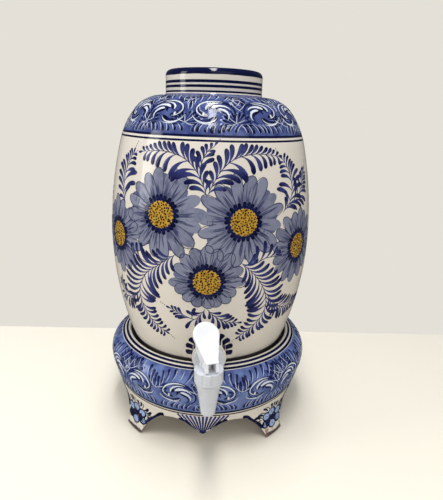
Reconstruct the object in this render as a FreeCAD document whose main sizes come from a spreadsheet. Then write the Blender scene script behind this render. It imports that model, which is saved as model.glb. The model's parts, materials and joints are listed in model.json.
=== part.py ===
"""Ceramic water filter crock: a glazed crock in a footed ring stand, a lever tap and a filter candle.

Millimetres, +Z up. The origin is on the crock's axis, at the floor under the stand's feet.
The tap faces -Y. Every sub-part is one object whose Label is the name of its file.
"""
import FreeCAD, Part
import math
import os
import re

import Sketcher

SIZES = {
    # crock, outside
    "crock_radius": 120, "belly_height": 237, "lower_bend": 384.6,
    "shoulder_radius": 107, "shoulder_height": 345, "upper_bend": 455, "shoulder_slope": 13.7,
    "break_radius": 90, "break_height": 380, "shoulder_bend": 92, "break_slope": 38.1,
    "crown_radius": 59.5, "crown_height": 394.8, "crown_bend": 38.7,
    "neck_radius": 55, "neck_fillet": 3, "crock_top": 422, "lip_bend": 6,
    # crock, inside and underneath
    "crock_wall": 9, "neck_wall": 8.5, "lip_inner_bend": 2.5,
    "floor_thickness": 8, "floor_bend": 10, "floor_corner": 4.1,
    "foot_radius": 93.6, "foot_width": 10, "foot_recess": 3,
    # stand
    "stand_turn": -1.8, "ledge_height": 98, "ledge_radius": 78, "ledge_thickness": 11, "seat_radius": 101,
    "rim_height": 110.3, "rim_fillet": 3, "rim_break_radius": 113, "rim_break_height": 105.1,
    "bulge_radius": 126.2, "bulge_height": 84, "bulge_low_radius": 123, "bulge_low_height": 70,
    "waist_radius": 116.9, "waist_height": 49, "skirt_radius": 115, "skirt_height": 38,
    "flare_height": 26, "flare_radius": 120, "flare_bend": 70, "stand_wall": 12.5, "foot_fillet": 2.5,
    # cut-outs between the stand's feet, front and back, then left and right
    "pendant_tip": 23, "pendant_shoulder": 16.4, "pendant_rise": 35, "arch_centre": 34,
    "arch_top": 41.2, "arch_bend": 29.9, "arch_corner": 50, "arch_corner_height": 38,
    "arch_foot": 78, "arch_side_bend": 110,
    "side_tip": 20, "side_arch_centre": 33, "side_arch_top": 46.5, "side_arch_corner": 52,
    "side_arch_corner_height": 44.5, "side_arch_flank": 61.5, "side_flank_height": 34,
    "side_flank_bend": 14, "side_arch_foot": 70,
    # boss for the tap
    "tap_height": 126, "tap_offset": 1.5, "boss_radius": 31, "boss_face_radius": 17,
    "boss_face": 120, "boss_root": 90, "boss_skirt": 6, "boss_bend": 27,
    "inner_pad_radius": 19, "inner_pad_face": 88, "tap_hole_radius": 9.5, "spot_face_radius": 16.2,
    "boss_clearance": 1.2,
    # tap body
    "shank_radius": 8, "shank_bore": 5, "shank_end": 57, "washer_radius": 15.4,
    "front_washer_thickness": 2.5, "inner_washer_thickness": 3,
    "flange_radius": 16.8, "flange_thickness": 4.5, "flange_edge": 1,
    "spout_reach": 163, "spout_drop": 36, "spout_mouth_radius": 7.3, "spout_mouth_bore": 5.6,
    "spout_top_radius": 11.8, "spout_top": 32, "spout_band_radius": 12.8, "spout_band": 3.5,
    "barrel_top": 41, "barrel_radius": 12.2, "chamber_radius": 9.4, "seat_height": 22,
    "seat_thickness": 3, "seat_hole_radius": 4.2, "neck_drop": 9, "neck_large": 8.2,
    "neck_small": 6.9, "passage_radius": 4.4,
    # bonnet
    "bonnet_radius": 14.4, "bonnet_bottom": 36.7, "bonnet_shoulder": 49.1, "bonnet_top": 50.2,
    "bonnet_ceiling": 46.5, "bonnet_gap": 0.1, "bonnet_relief": 0.3, "bonnet_cavity_radius": 9,
    "notch_count": 10, "notch_radius": 1.1, "notch_bottom": 39.2,
    # seat cup, stem and pin
    "cup_rim_thickness": 2, "cup_rim_inner": 8, "cup_wall": 1.2, "cup_plug_radius": 6.2,
    "cup_plug_top": 29.5, "cup_nose_radius": 3.2, "stem_radius": 2.5, "stem_knob_radius": 3.6,
    "stem_knob_bottom": 24, "stem_knob_height": 3, "stem_top": 58, "running_gap": 0.07,
    "pin_radius": 1.5, "pin_length": 12.4, "pin_height": 55.65,
    # lever: seen from the side it stands on the bonnet's top, forward of the pin and above it
    "lever_swivel": 16, "lever_lean": 48, "lever_half_width": 13.1, "lever_base_half": 6.5,
    "lever_length": 42.8, "lever_thickness": 5, "lever_taper": 13, "lever_datum": 13,
    "lip_front": 11.2, "lip_height": 5.95, "cheek_front": 12.5, "cheek_top": 10.8,
    "heel_gap": 0.25, "toe_bend": 2, "heel_reach": 6.5, "heel_rise": 1.2, "heel_bend": 3,
    "lever_web": 31, "web_bend": 14, "slot_width": 7.4, "slot_back": 4, "slot_roof": 3.9,
    "slot_depth": 8, "recess_depth": 1.1, "recess_radius": 46, "recess_height": 37,
    "lever_edge": 1.0,
    # fastening inside the crock
    "nut_thickness": 8, "nut_across_flats": 26, "union_radius": 11, "union_length": 12,
    "union_washer_thickness": 1.5,
    # elbow and filter candle
    "elbow_radius": 7.5, "elbow_bore": 5, "candle_reach": 43, "elbow_top": 16,
    "cup_flange_radius": 16, "cup_flange_thickness": 3, "gasket_thickness": 2,
    "gasket_inner": 7, "gasket_outer": 14, "base_radius": 26, "base_height": 12,
    "base_floor": 3.5, "base_wall": 1.8, "stub_radius": 4.9, "stub_length": 14,
    "stub_bore": 2.5, "shell_radius": 24, "shell_length": 112, "shell_wall": 7,
    "pad_thickness": 2, "core_length": 82,
}

doc = FreeCAD.newDocument("crock")
sheet = doc.addObject("Spreadsheet::Sheet", "Sizes")
for row, (alias, number) in enumerate(SIZES.items(), start=1):
    sheet.set(f"A{row}", alias)
    sheet.set(f"B{row}", str(number))
    sheet.setAlias(f"B{row}", alias)
doc.recompute()


def size(text):
    """The expression with each size written as a cell of the sheet."""
    return re.sub(r"[a-z]\w*", lambda word: "Sizes." + word[0] if word[0] in SIZES else word[0], text)


def value(text):
    """The number that an expression comes to now."""
    result = sheet.evalExpression(size(text))
    return float(getattr(result, "Value", result))


def bind(thing, **expressions):
    """Tie each property to an expression on the sheet."""
    for name, text in expressions.items():
        thing.setExpression(name, size(text))
    return thing


def at(thing, across="0", along="0", up="0", turn=""):
    """Place an object by expressions; turn is a rotation of the expression language."""
    turn = turn or "rotation(vector(0; 0; 1); 0)"
    thing.setExpression("Placement", size(f"placement(vector({across}; {along}; {up}); {turn})"))
    return thing


def outline(sketch, corners):
    """A closed outline of (across, up) corners; a third entry is the radius of the arc that
    arrives at the corner, positive where the outline turns left along it."""
    spots = [(value(corner[0]), value(corner[1])) for corner in corners]
    count = len(corners)
    starts, ends = [], []
    for index in range(count):
        following = (index + 1) % count
        p, q = spots[index], spots[following]
        if len(corners[following]) == 2:
            edge = sketch.addGeometry(Part.LineSegment(FreeCAD.Vector(*p, 0), FreeCAD.Vector(*q, 0)))
            starts.append((edge, 1))
            ends.append((edge, 2))
            continue
        bend = corners[following][2]
        radius = value(bend)
        left = not bend.startswith("-")
        radius = abs(radius)
        half = math.dist(p, q) / 2
        reach = math.sqrt(max(radius ** 2 - half ** 2, 0)) / (2 * half)
        side = 1 if left else -1
        centre = ((p[0] + q[0]) / 2 - side * reach * (q[1] - p[1]),
                  (p[1] + q[1]) / 2 + side * reach * (q[0] - p[0]))
        first, last = (p, q) if left else (q, p)
        circle = Part.Circle(FreeCAD.Vector(*centre, 0), FreeCAD.Vector(0, 0, 1), radius)
        begin = math.atan2(first[1] - centre[1], first[0] - centre[0])
        finish = math.atan2(last[1] - centre[1], last[0] - centre[0])
        edge = sketch.addGeometry(Part.ArcOfCircle(circle, begin, finish))
        starts.append((edge, 1 if left else 2))
        ends.append((edge, 2 if left else 1))
        fix(sketch, bend.lstrip("-"), "Radius", edge, radius)
    for index in range(count):
        edge, end = starts[index]
        sketch.addConstraint(Sketcher.Constraint("Coincident", *ends[index - 1], edge, end))
        across, up = corners[index][:2]
        if across == "0":
            sketch.addConstraint(Sketcher.Constraint("PointOnObject", edge, end, -2))
        else:
            fix(sketch, across, "DistanceX", -1, 1, edge, end, spots[index][0])
        if up == "0":
            sketch.addConstraint(Sketcher.Constraint("PointOnObject", edge, end, -1))
        else:
            fix(sketch, up, "DistanceY", -1, 1, edge, end, spots[index][1])
    return sketch


def fix(sketch, text, *constraint):
    """Add a constraint whose value is an expression on the sheet."""
    index = sketch.addConstraint(Sketcher.Constraint(*constraint))
    sketch.setExpression(f"Constraints[{index}]", size(text))


def sketched(body, plane, corners):
    """A sketch of the outline on one of the body's own origin planes."""
    sketch = body.newObject("Sketcher::SketchObject", body.Name + "_outline")
    support = [part for part in body.Origin.OriginFeatures if part.Role == plane][0]
    sketch.AttachmentSupport = [(support, "")]
    sketch.MapMode = "FlatFace"
    doc.recompute()
    return outline(sketch, corners)


def turned(label, corners):
    """A body turned about its own Z axis from a (radius, height) outline."""
    body = doc.addObject("PartDesign::Body", label)
    sketch = sketched(body, "XZ_Plane", corners)
    spin = body.newObject("PartDesign::Revolution", label + "_turned")
    spin.Profile = sketch
    spin.ReferenceAxis = (sketch, ["V_Axis"])
    spin.Angle = 360
    body.Tip = spin
    doc.recompute()
    return body


def padded(label, plane, corners, length, reverse=False):
    """A body padded from an outline on one of its origin planes."""
    body = doc.addObject("PartDesign::Body", label)
    pad = body.newObject("PartDesign::Pad", label + "_pad")
    pad.Profile = sketched(body, plane, corners)
    pad.Reversed = reverse
    bind(pad, Length=length)
    body.Tip = pad
    doc.recompute()
    return body


def cylinder(label, radius, height):
    """A plain cylinder on its own Z axis."""
    return bind(doc.addObject("Part::Cylinder", label), Radius=radius, Height=height)


def box(label, length, width, height):
    """A box from its own corner."""
    return bind(doc.addObject("Part::Box", label), Length=length, Width=width, Height=height)


def joined(label, *shapes):
    """One solid out of several."""
    result = doc.addObject("Part::MultiFuse", label)
    result.Shapes = shapes
    result.Refine = True
    return result


def cut(label, base, tool):
    """The base with the tool taken away."""
    result = doc.addObject("Part::Cut", label)
    result.Base = base
    result.Tool = tool
    result.Refine = True
    return result


def shared(label, first, second):
    """What two solids have in common."""
    result = doc.addObject("Part::Common", label)
    result.Base = first
    result.Tool = second
    result.Refine = True
    return result


def rounded(label, base, radius, wanted):
    """Fillet the edges of the base that the test picks."""
    doc.recompute()
    result = doc.addObject("Part::Fillet", label)
    result.Base = base
    picked = [index for index, edge in enumerate(base.Shape.Edges, start=1) if wanted(edge)]
    result.Edges = [(index, value(radius), value(radius)) for index in picked]
    return result


# A tool along the tap's axis points its own +Z out of the crock, towards -Y.
OUTWARD = "rotation(vector(1; 0; 0); 90)"
INWARD = "rotation(vector(1; 0; 0); -90)"
SPOUT_BOTTOM = "tap_height - spout_drop"
# The crock's rings, from its foot up.
CROCK_RINGS = ["crock_foot", "crock_belly", "crock_shoulder", "crock_crown", "crock_neck"]


def along_tap(thing, face):
    """Stand a thing on the tap's axis, that far in front of the crock's axis, pointing out."""
    return at(thing, "tap_offset", f"-({face})", "tap_height", OUTWARD)


def on_barrel(thing):
    """Put a turned part on the barrel's axis, with height 0 at the spout's mouth."""
    return at(thing, "tap_offset", "-spout_reach", SPOUT_BOTTOM)


def slanted(radius, height, slope):
    """A point one crock wall inside the outside, where the outside faces that slope."""
    return (f"{radius} - crock_wall * cos({slope})", f"{height} - crock_wall * sin({slope})")


def make_stand():
    """The footed ring stand: turned, then cut away between its four feet."""
    hollow_radius = "bulge_low_radius + 3.2 - stand_wall"
    hollow_height = "bulge_low_height + 4"
    ring = turned("stand_ring", [
        ("flare_radius", "0"),
        ("skirt_radius", "flare_height", "-flare_bend"),
        ("skirt_radius", "skirt_height"),
        ("waist_radius", "waist_height"),
        ("bulge_low_radius", "bulge_low_height", "100"),
        ("bulge_radius", "bulge_height", "32.2"),
        ("rim_break_radius", "rim_break_height", "23.5"),
        ("seat_radius + rim_fillet", "rim_height - 0.6", "131"),
        ("seat_radius", "rim_height - 0.6 - rim_fillet", "rim_fillet"),
        ("seat_radius", "ledge_height"),
        ("ledge_radius", "ledge_height"),
        ("ledge_radius", "ledge_height - ledge_thickness"),
        ("seat_radius", "ledge_height - ledge_thickness"),
        (hollow_radius, hollow_height, f"-0.688 * sqrt(({hollow_radius} - seat_radius)^2"
                                       f" + (ledge_height - ledge_thickness - ({hollow_height}))^2)"),
        ("skirt_radius - stand_wall + 1", "skirt_height + 6"),
        ("skirt_radius - stand_wall", "flare_height"),
        ("flare_radius - stand_wall", "0"),
    ])
    front = padded("front_arches", "XZ_Plane", [
        ("0", "0"),
        ("arch_foot", "0"),
        ("arch_corner", "arch_corner_height", "arch_side_bend"),
        ("arch_centre", "arch_top", "40"),
        ("pendant_shoulder", "pendant_rise", "arch_bend"),
        ("0", "pendant_tip"),
    ], "4 * bulge_radius")
    at(front, "0", "2 * bulge_radius", "0")
    side = padded("side_arches", "XZ_Plane", [
        ("0", "0"),
        ("side_arch_foot", "0"),
        ("side_arch_flank", "side_flank_height", "arch_side_bend"),
        ("side_arch_corner", "side_arch_corner_height", "side_flank_bend"),
        ("side_arch_centre", "side_arch_top", "60"),
        ("pendant_shoulder", "pendant_rise", "arch_bend"),
        ("0", "side_tip"),
    ], "4 * bulge_radius")
    at(side, "-2 * bulge_radius", "0", "0", "rotation(vector(0; 0; 1); 90)")
    tools = []
    for name, half, normal in (("front", front, (1, 0, 0)), ("side", side, (0, 1, 0))):
        other = doc.addObject("Part::Mirroring", name + "_arches_mirrored")
        other.Source = half
        other.Normal = FreeCAD.Vector(*normal)
        tools += [half, other]
    carved = cut("stand_carved", ring, joined("arches", *tools))

    def under_foot(edge):
        return edge.BoundBox.ZMax < 0.01 and edge.Length > 1

    softened = rounded("stand", carved, "foot_fillet", under_foot)
    at(softened, turn="rotation(vector(0; 0; 1); stand_turn)")


def make_crock():
    """The vessel: turned outside and inside, with a boss outside and a flat pad inside the tap hole.

    It is one casting, kept as a stack of rings that meet where its outline changes curve.
    """
    outside = turned("crock_outside", [
        ("0", "ledge_height + foot_recess"),
        ("foot_radius - foot_width - foot_recess", "ledge_height + foot_recess"),
        ("foot_radius - foot_width", "ledge_height"),
        ("foot_radius", "ledge_height"),
        ("crock_radius", "belly_height", "lower_bend"),
        ("shoulder_radius", "shoulder_height", "upper_bend"),
        ("break_radius", "break_height", "shoulder_bend"),
        ("crown_radius", "crown_height", "crown_bend"),
        ("neck_radius + neck_fillet", "crown_height"),
        ("neck_radius", "crown_height + neck_fillet", "-neck_fillet"),
        ("neck_radius", "crock_top - lip_bend"),
        ("neck_radius - lip_bend", "crock_top", "lip_bend"),
        ("0", "crock_top"),
    ])
    floor_height = "ledge_height + foot_recess + floor_thickness"
    inner_foot = "foot_radius - floor_corner"
    bore = "neck_radius - neck_wall"
    cavity = turned("crock_inside", [
        ("0", floor_height),
        (f"{inner_foot} - floor_bend", floor_height),
        (inner_foot, f"{floor_height} + floor_bend", "floor_bend"),
        ("crock_radius - crock_wall", "belly_height", "lower_bend - crock_wall"),
        (*slanted("shoulder_radius", "shoulder_height", "shoulder_slope"), "upper_bend - crock_wall"),
        (*slanted("break_radius", "break_height", "break_slope"), "shoulder_bend - crock_wall"),
        ("crown_radius", "crown_height - crock_wall", "crown_bend - crock_wall"),
        (f"{bore} + neck_fillet", "crown_height - crock_wall"),
        (bore, "crown_height - crock_wall + neck_fillet", "-neck_fillet"),
        (bore, "crock_top - lip_inner_bend"),
        (f"{bore} + lip_inner_bend", "crock_top", "-lip_inner_bend"),
        (f"{bore} + lip_inner_bend", "crock_top + lip_bend"),
        ("0", "crock_top + lip_bend"),
    ])
    boss = along_tap(turned("boss", [
        ("0", "0"),
        ("boss_radius", "0"),
        ("boss_radius", "boss_skirt"),
        ("boss_face_radius + 1.5", "boss_face - boss_root - 3", "-boss_bend"),
        ("boss_face_radius", "boss_face - boss_root", "4"),
        ("0", "boss_face - boss_root"),
    ]), "boss_root")
    pad = along_tap(cylinder("inner_pad", "inner_pad_radius", "boss_face - inner_pad_face"),
                    "inner_pad_face")
    hollow = cut("crock_hollow", cavity, pad)
    hole = along_tap(cylinder("tap_hole", "tap_hole_radius", "boss_face"), "inner_pad_face - 20")
    below_rim = box("below_rim", "4 * boss_radius", "2 * boss_face", "2 * boss_radius")
    at(below_rim, "tap_offset - 2 * boss_radius", "-1.5 * boss_face",
       "rim_height + boss_clearance - 2 * boss_radius")
    solid = joined("crock_solid", outside, cut("boss_over_rim", boss, below_rim))
    spot_face = along_tap(cylinder("spot_face", "spot_face_radius", "spot_face_radius"),
                          "inner_pad_face - spot_face_radius")
    whole = cut("crock_whole", solid, joined("crock_cuts", hollow, hole, spot_face))
    levels = ["ledge_height - foot_width", "belly_height", "shoulder_height", "break_height",
              "crown_height + neck_fillet", "crock_top + lip_bend"]
    for label, low, high in zip(CROCK_RINGS, levels, levels[1:]):
        slab = box(label + "_slab", "4 * crock_radius", "4 * crock_radius", f"{high} - ({low})")
        shared(label, whole, at(slab, "-2 * crock_radius", "-2 * crock_radius", low))


def make_tap_body():
    """Shank, flange, drooping neck, barrel and spout in one moulding, with the water way through it."""
    flange_back = "boss_face + front_washer_thickness"
    flange_front = flange_back + " + flange_thickness"
    barrel = on_barrel(turned("barrel", [
        ("0", "0"),
        ("spout_mouth_radius", "0"),
        ("spout_top_radius", "spout_top"),
        ("spout_band_radius", "spout_top + 0.6"),
        ("spout_band_radius", "spout_top + spout_band"),
        ("barrel_radius", "spout_top + spout_band"),
        ("barrel_radius", "barrel_top"),
        ("0", "barrel_top"),
    ]))
    water = on_barrel(turned("barrel_water_way", [
        ("0", "-1"),
        ("spout_mouth_bore", "-1"),
        ("spout_top_radius - 3", "seat_height - seat_thickness"),
        ("seat_hole_radius", "seat_height - seat_thickness"),
        ("seat_hole_radius", "seat_height"),
        ("chamber_radius", "seat_height"),
        ("chamber_radius", "barrel_top + 1"),
        ("0", "barrel_top + 1"),
    ]))
    shank = along_tap(cylinder("shank", "shank_radius", f"{flange_back} - shank_end"), "shank_end")
    flange = along_tap(turned("flange", [
        ("0", "0"),
        ("flange_radius", "0"),
        ("flange_radius", "flange_thickness - flange_edge"),
        ("flange_radius - flange_edge", "flange_thickness", "flange_edge"),
        ("0", "flange_thickness"),
    ]), flange_back)
    run = f"(spout_reach - ({flange_front}))"
    droop = f"90 deg + atan(neck_drop / {run})"
    neck = bind(doc.addObject("Part::Cone", "neck"), Radius1="neck_large", Radius2="neck_small",
                Height=f"sqrt({run}^2 + neck_drop^2)")
    at(neck, "tap_offset", f"-({flange_front})", "tap_height", f"rotation(vector(1; 0; 0); {droop})")
    passage = cylinder("neck_passage", "passage_radius", f"sqrt({run}^2 + neck_drop^2)")
    at(passage, "tap_offset", f"-({flange_front})", "tap_height", f"rotation(vector(1; 0; 0); {droop})")
    bore = along_tap(cylinder("shank_passage", "shank_bore", f"{flange_front} - shank_end + 2"),
                     "shank_end - 1")
    under_bonnet = cylinder("under_bonnet", "bonnet_radius + bonnet_relief", "barrel_top")
    at(under_bonnet, "tap_offset", "-spout_reach", f"{SPOUT_BOTTOM} + bonnet_bottom - bonnet_relief")
    relieved = cut("neck_relieved", neck, under_bonnet)
    solid = joined("tap_solid", barrel, shank, flange, relieved)
    chamber = on_barrel(cylinder("chamber", "chamber_radius", "barrel_top - seat_height"))
    chamber.setExpression("Placement", size(
        f"placement(vector(tap_offset; -spout_reach; {SPOUT_BOTTOM} + seat_height); "
        "rotation(vector(0; 0; 1); 0))"))
    cut("tap_body", solid, joined("tap_water_way", water, passage, bore, chamber))


def make_bonnet():
    """The notched collar that screws over the barrel and guides the stem."""
    inner = "barrel_radius + bonnet_gap"
    rim_top = "barrel_top + cup_rim_thickness"
    cap = on_barrel(turned("bonnet_cap", [
        ("spout_band_radius - 0.4", "bonnet_bottom"),
        ("bonnet_radius - 0.6", "bonnet_bottom"),
        ("bonnet_radius", "bonnet_bottom + 0.6", "0.6"),
        ("bonnet_radius", "bonnet_shoulder"),
        ("bonnet_radius - (bonnet_top - bonnet_shoulder)", "bonnet_top", "bonnet_top - bonnet_shoulder"),
        ("stem_radius + running_gap", "bonnet_top"),
        ("stem_radius + running_gap", "bonnet_ceiling"),
        ("bonnet_cavity_radius", "bonnet_ceiling"),
        ("bonnet_cavity_radius", rim_top),
        (inner, rim_top),
        (inner, "bonnet_bottom + 1"),
    ]))
    notches = []
    for number in range(int(SIZES["notch_count"])):
        name = f"notch_{number}"
        notch = cylinder(name, "notch_radius", "bonnet_shoulder - notch_bottom + 4")
        around = f"({number} + 0.35) * 360 / notch_count"
        at(notch, f"tap_offset + (bonnet_radius + 0.35) * sin({around})",
           f"-spout_reach - (bonnet_radius + 0.35) * cos({around})", f"{SPOUT_BOTTOM} + notch_bottom")
        notches.append(notch)
    cut("tap_bonnet", cap, joined("notches", *notches))


def make_seat_cup():
    """The soft cup that seals on the seat: a clamped rim, a thin wall and a solid plug."""
    rim_top = "barrel_top + cup_rim_thickness"
    on_barrel(turned("seat_cup", [
        ("0", "seat_height + 0.1"),
        ("cup_nose_radius", "seat_height + 0.1"),
        ("cup_plug_radius", "seat_height + 0.6"),
        ("cup_plug_radius", "cup_plug_top"),
        ("cup_rim_inner + cup_wall", "barrel_top"),
        ("barrel_radius - 0.1", "barrel_top"),
        ("barrel_radius - 0.1", rim_top),
        ("cup_rim_inner", rim_top),
        ("cup_rim_inner", "barrel_top - 0.5"),
        ("cup_plug_radius - cup_wall", "cup_plug_top"),
        ("stem_radius + running_gap", "cup_plug_top"),
        ("stem_radius + running_gap", "stem_knob_bottom + stem_knob_height + running_gap"),
        ("stem_knob_radius + running_gap", "stem_knob_bottom + stem_knob_height + running_gap"),
        ("stem_knob_radius + running_gap", "stem_knob_bottom - running_gap"),
        ("0", "stem_knob_bottom - running_gap"),
    ]))


def make_stem():
    """The stem with its knob in the cup, and the pin that carries the lever."""
    rod = on_barrel(turned("stem_rod", [
        ("0", "stem_knob_bottom"),
        ("stem_knob_radius", "stem_knob_bottom"),
        ("stem_knob_radius", "stem_knob_bottom + stem_knob_height"),
        ("stem_radius", "stem_knob_bottom + stem_knob_height"),
        ("stem_radius", "stem_top - 1"),
        ("stem_radius - 1", "stem_top", "1"),
        ("0", "stem_top"),
    ]))
    pin = across_pin(cylinder("lever_pin", "pin_radius", "pin_length"), "pin_length")
    hole = across_pin(cylinder("stem_pin_hole", "pin_radius", "4 * stem_radius"), "4 * stem_radius")
    cut("valve_stem", rod, hole)
    return pin


PIN_SPOT = f"vector(tap_offset; -spout_reach; {SPOUT_BOTTOM} + pin_height)"


def across_pin(thing, length):
    """Lay a cylinder along the pin's axis, centred on the barrel."""
    thing.setExpression("Placement", size(
        f"placement({PIN_SPOT}; rotation(vector(0; 0; 1); lever_swivel) * rotation(vector(0; 1; 0); 90))"
        f" * placement(vector(0; 0; -({length}) / 2); rotation(vector(0; 0; 1); 0))"))
    return thing


def make_lever():
    """The paddle lever with two cam cheeks astride the stem, leaning back as it rests."""
    lean = "lever_lean"
    heel_depth = "(pin_height - bonnet_top - heel_gap)"
    face = f"(lip_front * cos({lean}) + lip_height * sin({lean}))"
    lip = f"(lever_datum - lip_front * sin({lean}) + lip_height * cos({lean}))"

    def leaned(forward, height):
        """A point given forward of the pin and above it at rest, in the upright paddle's frame."""
        behind = f"{face} - (({forward}) * cos({lean}) + ({height}) * sin({lean}))"
        above = f"lever_datum - ({forward}) * sin({lean}) + ({height}) * cos({lean})"
        return behind, above

    top = f"{lip} + lever_length"
    side = padded("lever_side", "YZ_Plane", [
        ("0", lip),
        leaned("cheek_top", "lip_height - 1"),
        leaned("cheek_front", f"toe_bend - {heel_depth}"),
        (*leaned("cheek_front - toe_bend", f"-{heel_depth}"), "-toe_bend"),
        leaned("-heel_reach", f"-{heel_depth}"),
        leaned("-heel_reach", "heel_rise - heel_bend"),
        (*leaned("heel_bend - heel_reach", "heel_rise"), "-heel_bend"),
        ("lever_thickness", "lever_web", "web_bend"),
        ("lever_thickness", f"{top} - 2"),
        ("lever_thickness - 2", top, "2"),
        ("0", top),
    ], "2 * lever_half_width")
    round_centre = f"{top} - lever_half_width"
    tangent = ("lever_half_width * cos(lever_taper)", f"{round_centre} - lever_half_width * sin(lever_taper)")
    front = padded("lever_front", "XZ_Plane", [
        ("lever_half_width - lever_base_half", "0"),
        ("lever_half_width + lever_base_half", "0"),
        ("lever_half_width + lever_base_half", f"{lip} + 1"),
        (f"lever_half_width + {tangent[0]}", tangent[1]),
        ("lever_half_width", top, "lever_half_width"),
        (f"lever_half_width - {tangent[0]}", tangent[1], "lever_half_width"),
        ("lever_half_width - lever_base_half", f"{lip} + 1"),
    ], "2 * lever_half_width", reverse=True)
    at(front, "0", "-2", "0")
    blank = doc.addObject("Part::Common", "lever_blank")
    blank.Base = side
    blank.Tool = front

    middle = "lever_half_width"
    back_turn = f"rotation(vector(1; 0; 0); {lean})"
    tools = []
    for name, reach, roof in (("slot_inner", "slot_depth", "slot_roof"),
                              ("slot_mouth", "cheek_front + 2", "lip_height - 0.8")):
        slot = box(name, "slot_width", f"slot_back + {reach}", f"{roof} + {heel_depth} + 2")
        behind, above = leaned(reach, f"-{heel_depth} - 2")
        at(slot, f"{middle} - slot_width / 2", behind, above, back_turn)
        tools.append(slot)
    mouth = tools[1]
    bind(mouth, Width="cheek_front + 2 - slot_depth")
    hole = cylinder("lever_pin_hole", "pin_radius + running_gap", "4 * lever_half_width")
    at(hole, f"-{middle}", face, "lever_datum", "rotation(vector(0; 1; 0); 90)")
    scoop = bind(doc.addObject("Part::Sphere", "finger_recess"), Radius="recess_radius")
    at(scoop, middle, "recess_depth - recess_radius", "recess_height")
    shaped = cut("lever_shaped", blank, joined("lever_cuts", *tools, hole))

    def front_rim(edge):
        spot = edge.CenterOfMass
        return abs(spot.y) < 0.05 and spot.z > value(lip) + 0.5 and edge.Length > 3

    softened = rounded("lever_soft", shaped, "lever_edge", front_rim)
    final = cut("tap_lever", softened, scoop)
    rest = (f"placement({PIN_SPOT}; rotation(vector(0; 0; 1); lever_swivel)"
            f" * rotation(vector(1; 0; 0); -{lean}))"
            f" * placement(vector(-{middle}; -{face}; -lever_datum); rotation(vector(0; 0; 1); 0))")
    final.setExpression("Placement", size(rest))


def make_fastening():
    """Washers and nut that clamp the tap, and the union nut that holds the elbow."""
    for label, thickness, face in (
            ("tap_front_washer", "front_washer_thickness", "boss_face"),
            ("tap_inner_washer", "inner_washer_thickness", "inner_pad_face - inner_washer_thickness")):
        along_tap(turned(label, [
            ("shank_radius + 0.1", "0"),
            ("washer_radius", "0"),
            ("washer_radius", thickness),
            ("shank_radius + 0.1", thickness),
        ]), face)
    blank = bind(doc.addObject("Part::Prism", "nut_blank"), Circumradius="nut_across_flats / 2 / cos(30)",
                 Height="nut_thickness")
    blank.Polygon = 6
    nut_face = "inner_pad_face - inner_washer_thickness - nut_thickness"
    along_tap(blank, nut_face)
    hole = along_tap(cylinder("nut_hole", "shank_radius + 0.05", "nut_thickness + 2"), f"{nut_face} - 1")
    cut("tap_back_nut", blank, hole)

    union_face = "shank_end - union_washer_thickness - 3.5"
    along_tap(turned("filter_union_nut", [
        ("elbow_radius + 0.2", "0"),
        ("union_radius - 1", "0"),
        ("union_radius", "1"),
        ("union_radius", "union_length"),
        ("shank_radius + 0.05", "union_length"),
        ("shank_radius + 0.05", "3"),
        ("elbow_radius + 0.2", "3"),
    ]), union_face)
    along_tap(turned("union_washer", [
        ("shank_bore + 0.3", "0"),
        ("shank_radius - 0.1", "0"),
        ("shank_radius - 0.1", "union_washer_thickness"),
        ("shank_bore + 0.3", "union_washer_thickness"),
    ]), "shank_end - union_washer_thickness")


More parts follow.
